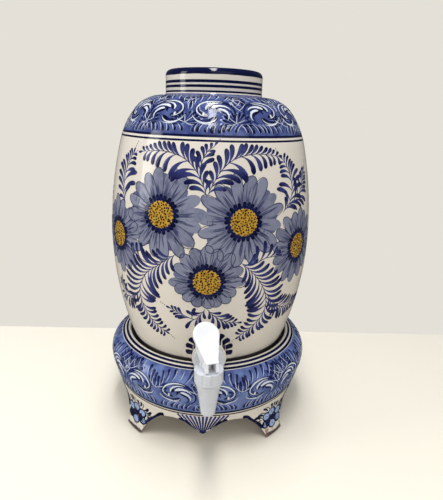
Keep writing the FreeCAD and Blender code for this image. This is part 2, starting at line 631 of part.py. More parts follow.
def make_filter():
    """The elbow on the shank's inner end and the candle that stands on it."""
    elbow_end = "shank_end - union_washer_thickness"
    arm = along_tap(cylinder("elbow_arm", "elbow_radius", f"{elbow_end} - candle_reach"), "candle_reach")
    collar = along_tap(cylinder("elbow_collar", "shank_radius - 0.1", "0.5"), f"{elbow_end} - 0.5")
    knuckle = bind(doc.addObject("Part::Sphere", "elbow_knuckle"), Radius="elbow_radius")
    at(knuckle, "tap_offset", "-candle_reach", "tap_height")
    riser = at(cylinder("elbow_riser", "elbow_radius", "elbow_top"), "tap_offset", "-candle_reach", "tap_height")
    seat = at(cylinder("elbow_seat", "cup_flange_radius", "cup_flange_thickness"),
              "tap_offset", "-candle_reach", "tap_height + elbow_top - cup_flange_thickness")
    arm_bore = along_tap(cylinder("elbow_arm_bore", "elbow_bore", f"{elbow_end} - candle_reach + 1"),
                         "candle_reach")
    riser_bore = at(cylinder("elbow_riser_bore", "elbow_bore", "elbow_top + 1"),
                    "tap_offset", "-candle_reach", "tap_height")
    cut("filter_elbow", joined("elbow_solid", arm, collar, knuckle, riser, seat),
        joined("elbow_bores", arm_bore, riser_bore))

    seat_top = "tap_height + elbow_top"

    def on_elbow(thing, height="0"):
        return at(thing, "tap_offset", "-candle_reach", f"{seat_top} + {height}")

    on_elbow(turned("candle_gasket", [
        ("gasket_inner", "0"),
        ("gasket_outer", "0"),
        ("gasket_outer", "gasket_thickness"),
        ("gasket_inner", "gasket_thickness"),
    ]))
    inner = "base_radius - base_wall"
    floor = "stub_length + gasket_thickness + base_floor"
    on_elbow(turned("candle_base", [
        ("stub_bore", "0"),
        ("stub_radius", "0"),
        ("stub_radius", "stub_length + gasket_thickness"),
        ("base_radius - 2", "stub_length + gasket_thickness"),
        ("base_radius", "stub_length + gasket_thickness + 2", "2"),
        ("base_radius", "stub_length + gasket_thickness + base_height"),
        (inner, "stub_length + gasket_thickness + base_height"),
        (inner, floor),
        ("stub_bore", floor),
    ]), "-stub_length")
    shell_bottom = "gasket_thickness + base_floor"
    straight = "shell_length - shell_radius"
    core_radius = "shell_radius - shell_wall"
    on_elbow(turned("candle_shell", [
        (core_radius, "0"),
        ("shell_radius", "0"),
        ("shell_radius", straight),
        ("0", "shell_length", "shell_radius"),
        ("0", "shell_length - shell_wall"),
        (core_radius, straight, f"-({core_radius})"),
    ]), shell_bottom)
    on_elbow(cylinder("candle_pad", f"{core_radius} - 0.1", "pad_thickness"), shell_bottom)
    on_elbow(cylinder("candle_core", f"{core_radius} - 0.3", "core_length"),
             f"{shell_bottom} + pad_thickness")


NODES = [
    "stand", *CROCK_RINGS, "tap_front_washer", "tap_body", "tap_inner_washer", "tap_back_nut", "tap_bonnet",
    "seat_cup", "valve_stem", "lever_pin", "tap_lever", "filter_union_nut", "union_washer",
    "filter_elbow", "candle_gasket", "candle_base", "candle_pad", "candle_core", "candle_shell",
]

make_stand()
make_crock()
make_tap_body()
make_bonnet()
make_seat_cup()
make_stem()
make_lever()
make_fastening()
make_filter()
doc.recompute()

faults = [thing.Label for thing in doc.Objects if {"Invalid", "Error"} & set(thing.State)]
nodes = {label: doc.getObjectsByLabel(label)[0] for label in NODES}
faults += [label for label, node in nodes.items() if node.Shape.isNull() or not node.Shape.isValid()]
if faults:
    raise RuntimeError("failed: " + ", ".join(faults))

os.makedirs("parts", exist_ok=True)
for label, node in nodes.items():
    node.Shape.exportStep(f"parts/{label}.step")
    print(f"{label}: {len(node.Shape.Solids)} solid, {node.Shape.Volume / 1000:.2f} cm3")
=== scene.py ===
"""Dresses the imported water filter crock: glazed ware, brush painting, tap, filter and stage.

Metres, in the model's own frame: the origin is on the crock's axis at the table, and the tap faces -Y.
Brush strokes are drawn in millimetres. A place on a pot is an azimuth from its front, in radians, and a
run up its outline.
"""
import bisect
import json
import math
import random

import bmesh
import bpy
from mathutils import Matrix, Vector

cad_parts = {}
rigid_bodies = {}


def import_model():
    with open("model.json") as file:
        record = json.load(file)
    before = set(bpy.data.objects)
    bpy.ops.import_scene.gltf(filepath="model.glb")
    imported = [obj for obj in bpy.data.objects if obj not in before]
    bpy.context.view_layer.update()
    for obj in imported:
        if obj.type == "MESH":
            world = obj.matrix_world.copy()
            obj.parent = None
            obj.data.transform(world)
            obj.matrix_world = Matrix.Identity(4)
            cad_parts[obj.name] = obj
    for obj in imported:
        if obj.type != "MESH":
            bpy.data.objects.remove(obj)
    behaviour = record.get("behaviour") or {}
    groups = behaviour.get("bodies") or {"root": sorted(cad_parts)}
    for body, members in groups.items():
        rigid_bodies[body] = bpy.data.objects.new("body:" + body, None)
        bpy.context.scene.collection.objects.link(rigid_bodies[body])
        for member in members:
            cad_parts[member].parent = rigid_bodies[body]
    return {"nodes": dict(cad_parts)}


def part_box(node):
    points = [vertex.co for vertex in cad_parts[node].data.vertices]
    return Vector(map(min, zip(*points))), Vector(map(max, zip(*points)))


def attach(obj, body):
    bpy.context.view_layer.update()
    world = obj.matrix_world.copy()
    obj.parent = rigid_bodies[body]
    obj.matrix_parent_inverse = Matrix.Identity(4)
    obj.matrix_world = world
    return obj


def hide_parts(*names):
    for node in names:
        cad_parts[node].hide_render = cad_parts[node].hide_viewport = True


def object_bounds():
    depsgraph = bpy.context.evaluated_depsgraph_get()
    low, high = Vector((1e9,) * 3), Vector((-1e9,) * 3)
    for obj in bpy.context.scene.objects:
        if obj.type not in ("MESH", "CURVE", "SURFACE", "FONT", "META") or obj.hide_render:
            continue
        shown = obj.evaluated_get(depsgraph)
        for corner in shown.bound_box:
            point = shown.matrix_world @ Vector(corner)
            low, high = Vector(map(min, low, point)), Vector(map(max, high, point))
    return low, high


bl_info = {
    "name": "Water filter crock",
    "version": (1, 0, 0),
    "blender": (4, 5, 0),
    "location": "3D View > Sidebar > Crock",
    "description": "Glazes, paints and fits out a water filter crock on its ring stand",
    "category": "Object",
}

for leftover in list(bpy.data.objects):
    bpy.data.objects.remove(leftover)
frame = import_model()
CAD_BOX = [list(corner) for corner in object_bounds()]
MM = 0.001
RINGS = ["crock_foot", "crock_belly", "crock_shoulder", "crock_crown", "crock_neck"]


# Sizes and colours that a user may change

def size(name, description, default):
    """A length that a user may change."""
    return bpy.props.FloatProperty(
        name=name, description=description, default=default, unit="LENGTH", precision=5)


def linear(*screen):
    """A colour as light, from the 0 to 255 that a screen shows."""
    parts = [part / 255 for part in screen]
    return tuple(part / 12.92 if part <= 0.04 else ((part + 0.055) / 1.055) ** 2.4 for part in parts)


def tint(name, description, *screen):
    """A colour that a user may change."""
    return bpy.props.FloatVectorProperty(
        name=name, description=description, subtype="COLOR", size=3, min=0, max=1, default=linear(*screen))


class CrockSizes(bpy.types.PropertyGroup):
    """The crock's outline."""

    foot_height: size(
        "Foot height", "Where the crock rests in its stand", round(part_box("crock_foot")[0][2], 4))
    belly_radius: size("Belly radius", "The crock's widest radius", round(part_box("crock_belly")[1][0], 4))
    neck_radius: size("Neck radius", "Outside radius of the neck", round(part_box("crock_neck")[1][0], 4))
    top: size("Top", "Height of the lip over the table", round(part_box("crock_neck")[1][2], 4))
    wall: size("Wall", "Thickness of the crock's wall", 0.009)
    neck_wall: size("Neck wall", "Thickness of the neck's wall", 0.0085)
    tap_across: size("Tap across", "The tap's axis, right of the crock's", 0.0015)
    tap_height: size("Tap height", "The tap's axis over the table", 0.126)


class PaintColours(bpy.types.PropertyGroup):
    """The glaze and the slips that are brushed under it."""

    ground: tint("Ground", "Warm white glaze", 218, 211, 199)
    navy: tint("Navy", "Heaviest blue, in lines and tips", 7, 10, 40)
    cobalt: tint("Cobalt", "Leaves and scrolls", 40, 50, 108)
    shoulder: tint("Shoulder wash", "Thin blue behind the shoulder's scrolls", 84, 97, 148)
    band: tint("Stand wash", "Thin blue behind the stand's scrolls", 112, 130, 178)
    petal: tint("Petal wash", "Watery blue of the petals", 129, 133, 153)
    petal_deep: tint("Petal shade", "Petals where the wash pooled", 60, 65, 98)
    light: tint("Highlights", "White scratched and left between strokes", 208, 213, 222)
    yolk: tint("Centres", "Yellow of the flowers' centres", 190, 150, 58)
    yolk_deep: tint("Centres' shade", "Brown in the yellow", 132, 88, 28)
    clay: tint("Clay", "Bare fired clay under the feet", 176, 138, 108)


class StageLook(bpy.types.PropertyGroup):
    """The table, the wall and the light."""

    table: tint("Table", "The table's top", 251, 245, 228)
    backdrop: tint("Wall", "The wall behind the table", 228, 224, 215)
    table_back: size("Table's back edge", "How far behind the crock's axis the table ends", 0.187)


# Node trees written as expressions

def overload(operation, swapped=False):
    """A method that answers an operator with a maths node; swapped for the reflected form."""
    def method(self, *others):
        return self.net.maths(operation, *((*others, self) if swapped else (self, *others)))
    return method


class Wire:
    """One output of a node tree, so that its maths can be written as an expression."""

    def __init__(self, net, socket):
        self.net = net
        self.socket = socket

    def out(self, name):
        """Another output of the same node."""
        return Wire(self.net, find(self.socket.node.outputs, name))

    __add__ = __radd__ = overload("ADD")
    __mul__ = __rmul__ = overload("MULTIPLY")
    __sub__ = overload("SUBTRACT")
    __rsub__ = overload("SUBTRACT", swapped=True)
    __pow__ = overload("POWER")
    __gt__ = overload("GREATER_THAN")
    __lt__ = overload("LESS_THAN")
    __abs__ = overload("ABSOLUTE")


def find(sockets, name):
    """A socket by number, identifier or name."""
    if isinstance(name, int):
        return sockets[name]
    for socket in sockets:
        if socket.identifier == name:
            return socket
    return sockets[name]


class Net:
    """A node tree to which expressions add nodes."""

    def __init__(self, tree):
        self.tree = tree

    def node(self, kind, settings=None, sockets=None, out=0):
        """Add a node: its settings first, then the values or links of its sockets."""
        node = self.tree.nodes.new(kind)
        for name, setting in (settings or {}).items():
            setattr(node, name, setting)
        for name, value in (sockets or {}).items():
            socket = find(node.inputs, name)
            if isinstance(value, Wire):
                self.tree.links.new(value.socket, socket)
            else:
                socket.default_value = value
        return Wire(self, find(node.outputs, out) if len(node.outputs) else None)

    def maths(self, operation, *values):
        return self.node("ShaderNodeMath", {"operation": operation}, dict(enumerate(values)))

    def vector(self, operation, *values, out=0):
        return self.node("ShaderNodeVectorMath", {"operation": operation}, dict(enumerate(values)), out)

    def mix(self, share, first, second):
        """The first colour, and the second where the share is 1."""
        return self.node(
            "ShaderNodeMix", {"data_type": "RGBA"},
            {"Factor_Float": share, "A_Color": rgba(first), "B_Color": rgba(second)}, "Result_Color")

    def ramp(self, value, low, high):
        """0 below low, 1 above high and smooth between."""
        return self.node(
            "ShaderNodeMapRange", {"interpolation_type": "SMOOTHSTEP"},
            {"Value": value, "From Min": low, "From Max": high})

    def stripe(self, value, centre, half, soft=0.00018):
        """1 on a stripe of that half width."""
        return 1 - self.ramp(abs(value - centre), half - soft, half + soft)

    def stripes(self, value, lines):
        """The stripes of (centre, half width) pairs, together."""
        return sum(self.stripe(value, centre, half) for centre, half in lines)

    def place(self):
        """Object coordinates."""
        return self.node("ShaderNodeTexCoord", out="Object")

    def axis(self, name, vector=None):
        """One coordinate of a vector, or of the place on the object."""
        return self.node("ShaderNodeSeparateXYZ", {}, {0: vector or self.place()}).out(name)

    def noise(self, scale, detail=2.0, stretch=None):
        """Noise from 0 to 1 with a grain of 1/scale metres."""
        place = self.place()
        if stretch:
            place = self.vector("MULTIPLY", place, stretch)
        return self.node("ShaderNodeTexNoise", {}, {"Vector": place, "Scale": scale, "Detail": detail}, "Fac")

    def mottle(self, first, second, grain, detail=2.0, share=1.0):
        """The first colour, clouded by noise with the second, which is given as on a screen."""
        return self.mix(self.noise(grain, detail) * share, first, linear(*second))

    def attribute(self, name):
        return self.node("ShaderNodeAttribute", {"attribute_name": name}, out="Fac")

    def bump(self, strength, distance, height):
        """The normal of a skin that stands up and down that far."""
        return self.node("ShaderNodeBump", {}, {"Strength": strength, "Distance": distance, "Height": height})

    def blend(self, share, first, second):
        """The first shader, and the second where the share is 1."""
        return self.node("ShaderNodeMixShader", {}, {0: share, 1: first, 2: second})

    def surface(self, **sockets):
        """End the tree in a Principled surface."""
        named = {name.replace("_", " "): rgba(value) for name, value in sockets.items()}
        shader = self.node("ShaderNodeBsdfPrincipled", {}, named)
        self.node("ShaderNodeOutputMaterial", {}, {"Surface": shader})


def rgba(value):
    """A colour with its alpha; anything else as it is."""
    if isinstance(value, (Wire, float, int, str)):
        return value
    parts = tuple(value)
    return (*parts, 1.0) if len(parts) == 3 else parts


def material(name):
    """A new material and the net of its nodes."""
    made = bpy.data.materials.new(name)
    made.use_nodes = True
    made.node_tree.nodes.clear()
    return made, Net(made.node_tree)


def glazed(net, colour):
    """End a material in clear glass over the colour, a little rippled by the wheel and the kiln."""
    ripple = net.noise(34, 1.0, (1, 1, 1.6))
    peel = net.noise(700, 1.0)
    net.surface(
        Base_Color=colour, Roughness=0.06 + 0.07 * net.noise(60, 3.0),
        Normal=net.bump(0.10, 0.002, ripple + 0.03 * peel),
        Specular_IOR_Level=0.25, Coat_Weight=0.08, Coat_Roughness=0.03)


def slip(name, thin, thick, tip=0.5, pool=0.3, heart=0.0, grain=0.5, vary=0.3, base=0.1):
    """Brushed blue slip under the glaze: thin where the stroke starts, thick where the paint pooled."""
    made, net = material(name)
    along = net.attribute("along")
    across = abs(net.attribute("across"))
    tone = net.attribute("tone")
    water = net.noise(150, 3.0)
    load = base + tip * along * along + pool * across ** 5 + grain * (water - 0.5) + vary * (tone - 0.5)
    if heart:
        load = load + heart * (1 - net.ramp(along, 0.0, 0.5)) * (1 - across * across)
    glazed(net, net.mix(net.ramp(load, 0, 1), thin, thick))
    return made


# The pots' outlines and the places on them

def traced(corners, step=0.003):
    """Points along an outline of (radius, height) corners. A third entry is the radius of the arc that
    arrives at a corner, positive where the outline turns left along it."""
    points = [Vector(corners[0])]
    for corner in corners[1:]:
        start = points[-1]
        end = Vector(corner[:2])
        span = (end - start).length
        if len(corner) == 2:
            count = max(1, math.ceil(span / step))
            points += [start.lerp(end, index / count) for index in range(1, count + 1)]
            continue
        bend = corner[2]
        reach = math.sqrt(max(bend * bend - span * span / 4, 0))
        left = Vector((start.y - end.y, end.x - start.x)).normalized()
        centre = (start + end) / 2 + left * math.copysign(reach, bend)
        sweep = math.copysign(2 * math.asin(min(span / 2 / abs(bend), 1)), bend)
        count = max(math.ceil(span / step), math.ceil(abs(sweep) / math.radians(12)))
        arm = start - centre
        points += [centre + Matrix.Rotation(sweep * index / count, 2) @ arm for index in range(1, count + 1)]
    return points


BELLY_HEIGHT = 0.237
# The crock's shoulder: radius, height, radius of the arc that arrives, and slope there in degrees
SHOULDER = ((0.107, 0.345, 0.455, 13.7), (0.090, 0.380, 0.092, 38.1))
STAND_OUTSIDE = traced([
    (0.120, 0.0), (0.115, 0.026, -0.070), (0.115, 0.038), (0.1169, 0.049), (0.123, 0.070, 0.100),
    (0.1262, 0.084, 0.0322), (0.113, 0.1051, 0.0235), (0.104, 0.1097, 0.131), (0.101, 0.1067, 0.003)], 0.002)
STAND_TURN = math.radians(-1.8)
# The crock's back is painted like its front, turned by this many degrees
BACK = 179


def crock_outside(sizes):
    """The crock's outside, from its foot to the crest of its lip."""
    neck, top = sizes.neck_radius, sizes.top
    return traced([
        (0.0936, sizes.foot_height), (sizes.belly_radius, BELLY_HEIGHT, 0.3846),
        *(corner[:3] for corner in SHOULDER), (0.0595, 0.3948, 0.0387), (neck + 0.003, 0.3948),
        (neck, 0.3978, -0.003), (neck, top - 0.006), (neck - 0.006, top, 0.006)])


def crock_inside(sizes):
    """The crock's inside, from the middle of its floor to the crest of its lip."""
    wall, bore, top = sizes.wall, sizes.neck_radius - sizes.neck_wall, sizes.top
    corners = [
        (0.0, 0.109), (0.0795, 0.109), (0.0895, 0.119, 0.010),
        (sizes.belly_radius - wall, BELLY_HEIGHT, 0.3756)]
    for radius, height, bend, slope in SHOULDER:
        slope = math.radians(slope)
        corners.append((radius - wall * math.cos(slope), height - wall * math.sin(slope), bend - wall))
    corners += [
        (0.0595, 0.3858, 0.0297), (bore + 0.003, 0.3858), (bore, 0.3888, -0.003), (bore, top - 0.0025),
        (bore + 0.0025, top, -0.0025)]
    return traced(corners)


class Ware:
    """The outside of a turned pot."""

    def __init__(self, outline):
        self.outline = outline
        self.runs = [0.0]
        for start, end in zip(outline, outline[1:]):
            self.runs.append(self.runs[-1] + (end - start).length)

    def at(self, run):
        """Radius and height at a run up the outline."""
        index = min(max(bisect.bisect_right(self.runs, run) - 1, 0), len(self.outline) - 2)
        share = (run - self.runs[index]) / (self.runs[index + 1] - self.runs[index])
        return self.outline[index].lerp(self.outline[index + 1], share)

    def run_at(self, height):
        """The run at which the outline first reaches a height."""
        for index, (start, end) in enumerate(zip(self.outline, self.outline[1:])):
            if start.y <= height <= end.y and end.y > start.y:
                share = (height - start.y) / (end.y - start.y)
                return self.runs[index] + share * (self.runs[index + 1] - self.runs[index])
        raise ValueError(f"no place {height} m high on the pot")

    def point(self, place):
        """The point in space at a place."""
        azimuth, run = place
        radius, height = self.at(run)
        return Vector((radius * math.sin(azimuth), -radius * math.cos(azimuth), height))


class Spot:
    """A place on a pot with axes of its own, in millimetres: x to the right and y up, then turned."""

    def __init__(self, ware, azimuth, height, angle=0.0, mirrored=False, run=None, stretch=1.0):
        self.ware = ware
        self.azimuth = azimuth
        self.run = ware.run_at(height * MM) if run is None else run
        self.cos = math.cos(angle)
        self.sin = math.sin(angle)
        self.side = -stretch if mirrored else stretch

    def point(self, x, y):
        right = self.side * (x * self.cos - y * self.sin)
        run = self.run + (x * self.sin + y * self.cos) * MM
        return self.ware.point((self.azimuth + right * MM / self.ware.at(run).x, run))


# Brush strokes: how wide one is along its length, and where it goes

def rounded(t, start):
    """The round end of a stroke whose end begins there."""
    return math.sqrt(max(1 - ((t - start) / (1 - start)) ** 2, 0))


def comma(t):
    """Thin at its start and round at its end."""
    return max(t / 0.7, 0) ** 0.8 * 0.92 + 0.08 if t < 0.7 else rounded(t, 0.7)


def leaf(t):
    """A stalk that opens into a rounded blade."""
    if t < 0.2:
        return 0.14 + 0.5 * t
    return 0.24 + 0.76 * math.sin((t - 0.2) / 0.6 * math.pi / 2) ** 1.1 if t < 0.8 else rounded(t, 0.8)


def petal(t):
    """Narrow at its start, broad and round at its end."""
    return 0.42 + 0.58 * math.sin(t / 0.66 * math.pi / 2) if t < 0.66 else rounded(t, 0.66)


def disc(t):
    return math.sqrt(max(1 - (2 * t - 1) ** 2, 0))


def even(t):
    """One width, with round ends."""
    return max(1 - abs(2 * t - 1) ** 7, 0) ** 0.5


def crescent(t):
    return math.sin(math.pi * t) ** 0.8


def hair(t):
    """A fine line."""
    return 0.55 + 0.45 * math.sin(math.pi * t)


def bent(x, y, heading, curl, length):
    """A path from (x, y) that turns evenly from its heading by curl, in degrees."""
    start = math.radians(heading)
    turn = math.radians(curl) or 1e-6

    def path(t):
        scale = length / turn
        return (x + scale * (math.sin(start + turn * t) - math.sin(start)),
                y - scale * (math.cos(start + turn * t) - math.cos(start)))
    return path


def volute(first, last, start, turn, squash=1.0):
    """A spiral path from the first radius to the last, slow at first, and flattened."""
    def path(t):
        radius = first + (last - first) * t ** 1.4
        angle = math.radians(start + turn * t)
        return radius * math.cos(angle), squash * radius * math.sin(angle)
    return path


class Coat:
    """One coat of paint on one surface: brush strokes that become a single piece."""

    def __init__(self, profile="narrow"):
        self.profile = profile
        self.strokes = []

    def lay(self, spot, path, width, form, steps=8):
        """A stroke along a path on the spot's axes, of that half width in millimetres."""
        stroke = []
        for index in range(steps + 1):
            t = 0.5 - 0.5 * math.cos(math.pi * index / steps)
            stroke.append((spot.point(*path(t)), max(width * form(t), 0.05) * MM))
        self.strokes.append(stroke)

    def trail(self, points, width, form=hair):
        """A stroke through points in space."""
        last = len(points) - 1
        self.strokes.append([
            (point, max(width * form(index / last), 0.05) * MM) for index, point in enumerate(points)])


# Geometry node trees

def new_tree(name, inputs):
    """A node group whose inputs are (name, kind, default)."""
    tree = bpy.data.node_groups.new(name, "GeometryNodeTree")
    tree.interface.new_socket("Geometry", in_out="INPUT", socket_type="NodeSocketGeometry")
    for label, kind, default in inputs:
        socket = tree.interface.new_socket(label, in_out="INPUT", socket_type=f"NodeSocket{kind}")
        if default is not None:
            socket.default_value = default
    tree.interface.new_socket("Geometry", in_out="OUTPUT", socket_type="NodeSocketGeometry")
    net = Net(tree)
    return net, net.node("NodeGroupInput")


def close_tree(net, geometry, given):
    """End a tree smooth, real and painted."""
    smooth = net.node("GeometryNodeSetShadeSmooth", {}, {"Geometry": geometry})
    real = net.node("GeometryNodeRealizeInstances", {}, {"Geometry": smooth})
    painted = net.node("GeometryNodeSetMaterial", {}, {"Geometry": real, "Material": given.out("Paint")})
    net.node("NodeGroupOutput", {}, {"Geometry": painted})
    return net.tree


def turning_tree():
    """Turns an outline about the Z axis, as a potter's wheel does."""
    net, given = new_tree("Turned ware", [
        ("Columns", "Int", 240), ("Hub", "Float", 0.001), ("Paint", "Material", None)])
    ring = net.node("GeometryNodeCurvePrimitiveCircle", {"mode": "RADIUS"}, {
        "Resolution": given.out("Columns"), "Radius": given.out("Hub")})
    level = net.node("GeometryNodeSetCurveNormal", {"mode": "Z_UP"}, {"Curve": ring})
    skin = net.node("GeometryNodeCurveToMesh", {}, {"Curve": level, "Profile Curve": given.out("Geometry")})
    closed = net.node("GeometryNodeMergeByDistance", {}, {"Geometry": skin, "Distance": 0.000002})
    return close_tree(net, closed, given)


def brush_tree():
    """Lays each curve on a surface as a flat stroke of paint, as wide as the curve's radius, and presses it
    flat where it would leave the model's box."""
    net, given = new_tree("Brush", [
        ("Surface", "Object", None), ("Brush", "Object", None), ("Lift", "Float", 0.0001),
        ("Margin", "Float", 0.0), ("Seed", "Int", 1), ("Paint", "Material", None)])

    def shape(name):
        """The geometry of an object that is given."""
        return net.node("GeometryNodeObjectInfo", {}, {"Object": given.out(name)}, "Geometry")

    def nearest(kind):
        """What a node of that kind says at the nearest point of the surface."""
        return net.node("GeometryNodeSampleNearestSurface", {"data_type": "FLOAT_VECTOR"}, {
            "Mesh": surface, "Value": net.node(kind)})

    def kept(geometry, name, value, domain="POINT"):
        """The geometry with a value stored under a name."""
        return net.node("GeometryNodeStoreNamedAttribute", {"data_type": "FLOAT", "domain": domain}, {
            "Geometry": geometry, "Name": name, "Value": value})

    def read(name):
        """A stored value."""
        return net.node(
            "GeometryNodeInputNamedAttribute", {"data_type": "FLOAT"}, {"Name": name}, "Attribute")

    surface = shape("Surface")
    tangent = net.node("GeometryNodeInputTangent")
    upright = net.vector("CROSS_PRODUCT", nearest("GeometryNodeInputNormal"), tangent)
    facing = net.node("GeometryNodeSetCurveNormal", {"mode": "FREE"}, {
        "Curve": given.out("Geometry"), "Normal": upright})
    chance = net.node("FunctionNodeRandomValue", {"data_type": "FLOAT"}, {
        "ID": net.node("GeometryNodeInputIndex"), "Seed": given.out("Seed")}, 1)
    toned = kept(facing, "tone", chance, "CURVE")
    marked = kept(toned, "along", net.node("GeometryNodeSplineParameter", out="Factor"))
    corner = net.node("GeometryNodeInputPosition")
    bristle = kept(kept(shape("Brush"), "across", net.axis("X", corner)), "rise", net.axis("Y", corner))
    ribbon = net.node("GeometryNodeCurveToMesh", {}, {
        "Curve": marked, "Profile Curve": bristle, "Scale": net.node("GeometryNodeInputRadius"),
        "Fill Caps": True})
    height = read("rise") * 1000 * (given.out("Lift") + 0.00004 * read("tone") + 0.00005) - 0.00005
    away = net.node("ShaderNodeVectorMath", {"operation": "SCALE"}, {
        0: nearest("GeometryNodeInputNormal"), "Scale": height})
    place = net.vector("ADD", nearest("GeometryNodeInputPosition"), away)
    inset = net.node("ShaderNodeCombineXYZ", {}, {0: given.out("Margin"), 1: given.out("Margin"), 2: 0.0})
    place = net.vector("MAXIMUM", place, net.vector("ADD", inset, CAD_BOX[0]))
    place = net.vector("MINIMUM", place, net.vector("SUBTRACT", CAD_BOX[1], inset))
    laid = net.node("GeometryNodeSetPosition", {}, {"Geometry": ribbon, "Position": place})
    return close_tree(net, laid, given)


def piece(name, data):
    """A new object in the scene."""
    made = bpy.data.objects.new(name, data)
    bpy.context.collection.objects.link(made)
    return made


def curve_object(name, splines, cyclic=False):
    """A curve of straight runs through (point, radius) pairs."""
    curve = bpy.data.curves.new(name, "CURVE")
    curve.dimensions = "3D"
    for spline in splines:
        run = curve.splines.new("POLY")
        run.points.add(len(spline) - 1)
        run.use_cyclic_u = cyclic
        for point, (place, radius) in zip(run.points, spline):
            point.co = (*place, 1)
            point.radius = radius
    return piece(name, curve)


def grown(name, source, tree, **inputs):
    """The plain mesh that a tree makes of a source curve, in a new object; the source goes."""
    modifier = source.modifiers.new(tree.name, "NODES")
    modifier.node_group = tree
    for item in tree.interface.items_tree:
        if item.in_out == "INPUT" and item.name in inputs:
            modifier[item.identifier] = inputs[item.name]
    depsgraph = bpy.context.evaluated_depsgraph_get()
    mesh = bpy.data.meshes.new_from_object(source.evaluated_get(depsgraph), depsgraph=depsgraph)
    mesh.name = name
    source.modifiers.remove(modifier)
    bpy.data.objects.remove(source)
    return piece(name, mesh)


def outward(mesh):
    """Turn a mesh's faces outwards."""
    work = bmesh.new()
    work.from_mesh(mesh)
    bmesh.ops.recalc_face_normals(work, faces=work.faces)
    work.to_mesh(mesh)
    work.free()


# Where each brush's section has its corners, from edge to edge; the two edges lie on the surface
BRUSHES = {
    "narrow": (-1, -0.82, 0.82, 1),
    "broad": (-1, -0.95, -0.72, -0.48, -0.24, 0, 0.24, 0.48, 0.72, 0.95, 1),
}
# Strokes lower than this keep their order where the model's box presses them flat
FREE_LIFT = 0.00025


def painted(name, coat, surface, paint, body, lift, seed):
    """Make a coat's strokes into one piece on a surface."""
    tree = bpy.data.node_groups.get("Brush") or brush_tree()
    section = [((x, MM if abs(x) < 1 else 0.0, 0), 1) for x in BRUSHES[coat.profile]]
    brush = curve_object("brush", [section], cyclic=True)
    strokes = curve_object(name + "_strokes", coat.strokes)
    made = grown(name, strokes, tree, Surface=surface, Brush=brush, Lift=lift, Seed=seed, Paint=paint,
                 Margin=0.08 * max(FREE_LIFT - lift, 0.0))
    bpy.data.objects.remove(brush)
    outward(made.data)
    made.data.set_sharp_from_angle(angle=math.radians(35))
    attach(made, body)


def paint_coats(motif, coats, surface, body, layers):
    """Make a motif's coats into pieces, from (coat, paint, lift, seed) layers."""
    for coat, paint, lift, seed in layers:
        painted(f"{motif}_{coat}", coats[coat], surface, paint, body, lift, seed)


# Motifs

def smoothed(places, count):
    """Places along a smooth path through the given ones."""
    ends = [places[0], *places, places[-1]]
    path = []
    for index in range(len(places) - 1):
        a, b, c, d = (Vector(place) for place in ends[index:index + 4])
        for step in range(count):
            t = step / count
            path.append(0.5 * (2 * b + (c - a) * t + (2 * a - 5 * b + 4 * c - d) * t ** 2
                               + (3 * b - a - 3 * c + d) * t ** 3))
    return path + [Vector(places[-1])]


def frond(coats, ware, spots, reaches, bare, fat, seed, turn):
    """A stem through (azimuth, height) spots, in degrees and millimetres. The leaves on its left and right
    have a reach each and start after a bare stretch of stem each; fat is how broad and far apart they are."""
    dice = random.Random(seed)
    places = [(math.radians(azimuth + turn), ware.run_at(height * MM)) for azimuth, height in spots]
    path = smoothed(places, 10)
    coats["stems"].trail([ware.point(place) for place in path], 0.45)
    travel, headings = [0.0], []
    for start, end in zip(path, path[1:]):
        step = Vector(((end.x - start.x) * ware.at(start.y).x, end.y - start.y))
        travel.append(travel[-1] + step.length / MM)
        headings.append(math.atan2(step.y, step.x))
    total = travel[-1]
    for side, reach, gone in zip((1, -1), reaches, bare):
        curl = 45 + 3 * (reach - 17)
        while gone < total:
            index = min(max(bisect.bisect_right(travel, gone) - 1, 0), len(path) - 2)
            share = (gone - travel[index]) / (travel[index + 1] - travel[index])
            place = path[index].lerp(path[index + 1], share)
            heading = headings[index]
            back, ahead = max(index - 4, 0), min(index + 5, len(headings) - 1)
            bend = (headings[ahead] - headings[back] + math.pi) % (2 * math.pi) - math.pi
            bend *= side / (travel[ahead] - travel[back])
            part = gone / total
            taper = (0.6 + 0.4 * min(part / 0.25, 1)) * (1 - 0.68 * max(part - 0.4, 0) / 0.6)
            length = reach * taper * dice.uniform(0.94, 1.06)
            lean = dice.uniform(6, 12) + max(18 - length, 0) + math.degrees(max(0.7 * bend * length, 0))
            blade = bent(0, 0, side * lean, side * (curl + dice.uniform(-7, 7)), length)
            spot = Spot(ware, place.x, 0, heading, run=place.y)
            coats["leaves"].lay(spot, blade, fat * min(0.07 * length + 1.25, 3.2), leaf, 11)
            gone += fat * (5.2 + 0.1 * length) / min(max(1 - 0.5 * bend * length, 0.6), 1.15)
    tip = Spot(ware, path[-1].x, 0, heading, run=path[-1].y)
    coats["leaves"].lay(tip, bent(0, 0, 0, 12, 7.5), 1.5, leaf, 6)
    for index in range(3):
        dot = bent(8.8 + 2.6 * index, dice.uniform(-0.8, 0.8), 0, 10, 1.5)
        coats["leaves"].lay(tip, dot, 0.42, even, 3)


PETALS = 16
PETAL_START = 13.5
RING_DABS = 24
SEEDS = 68
GOLDEN_ANGLE = 2.39996


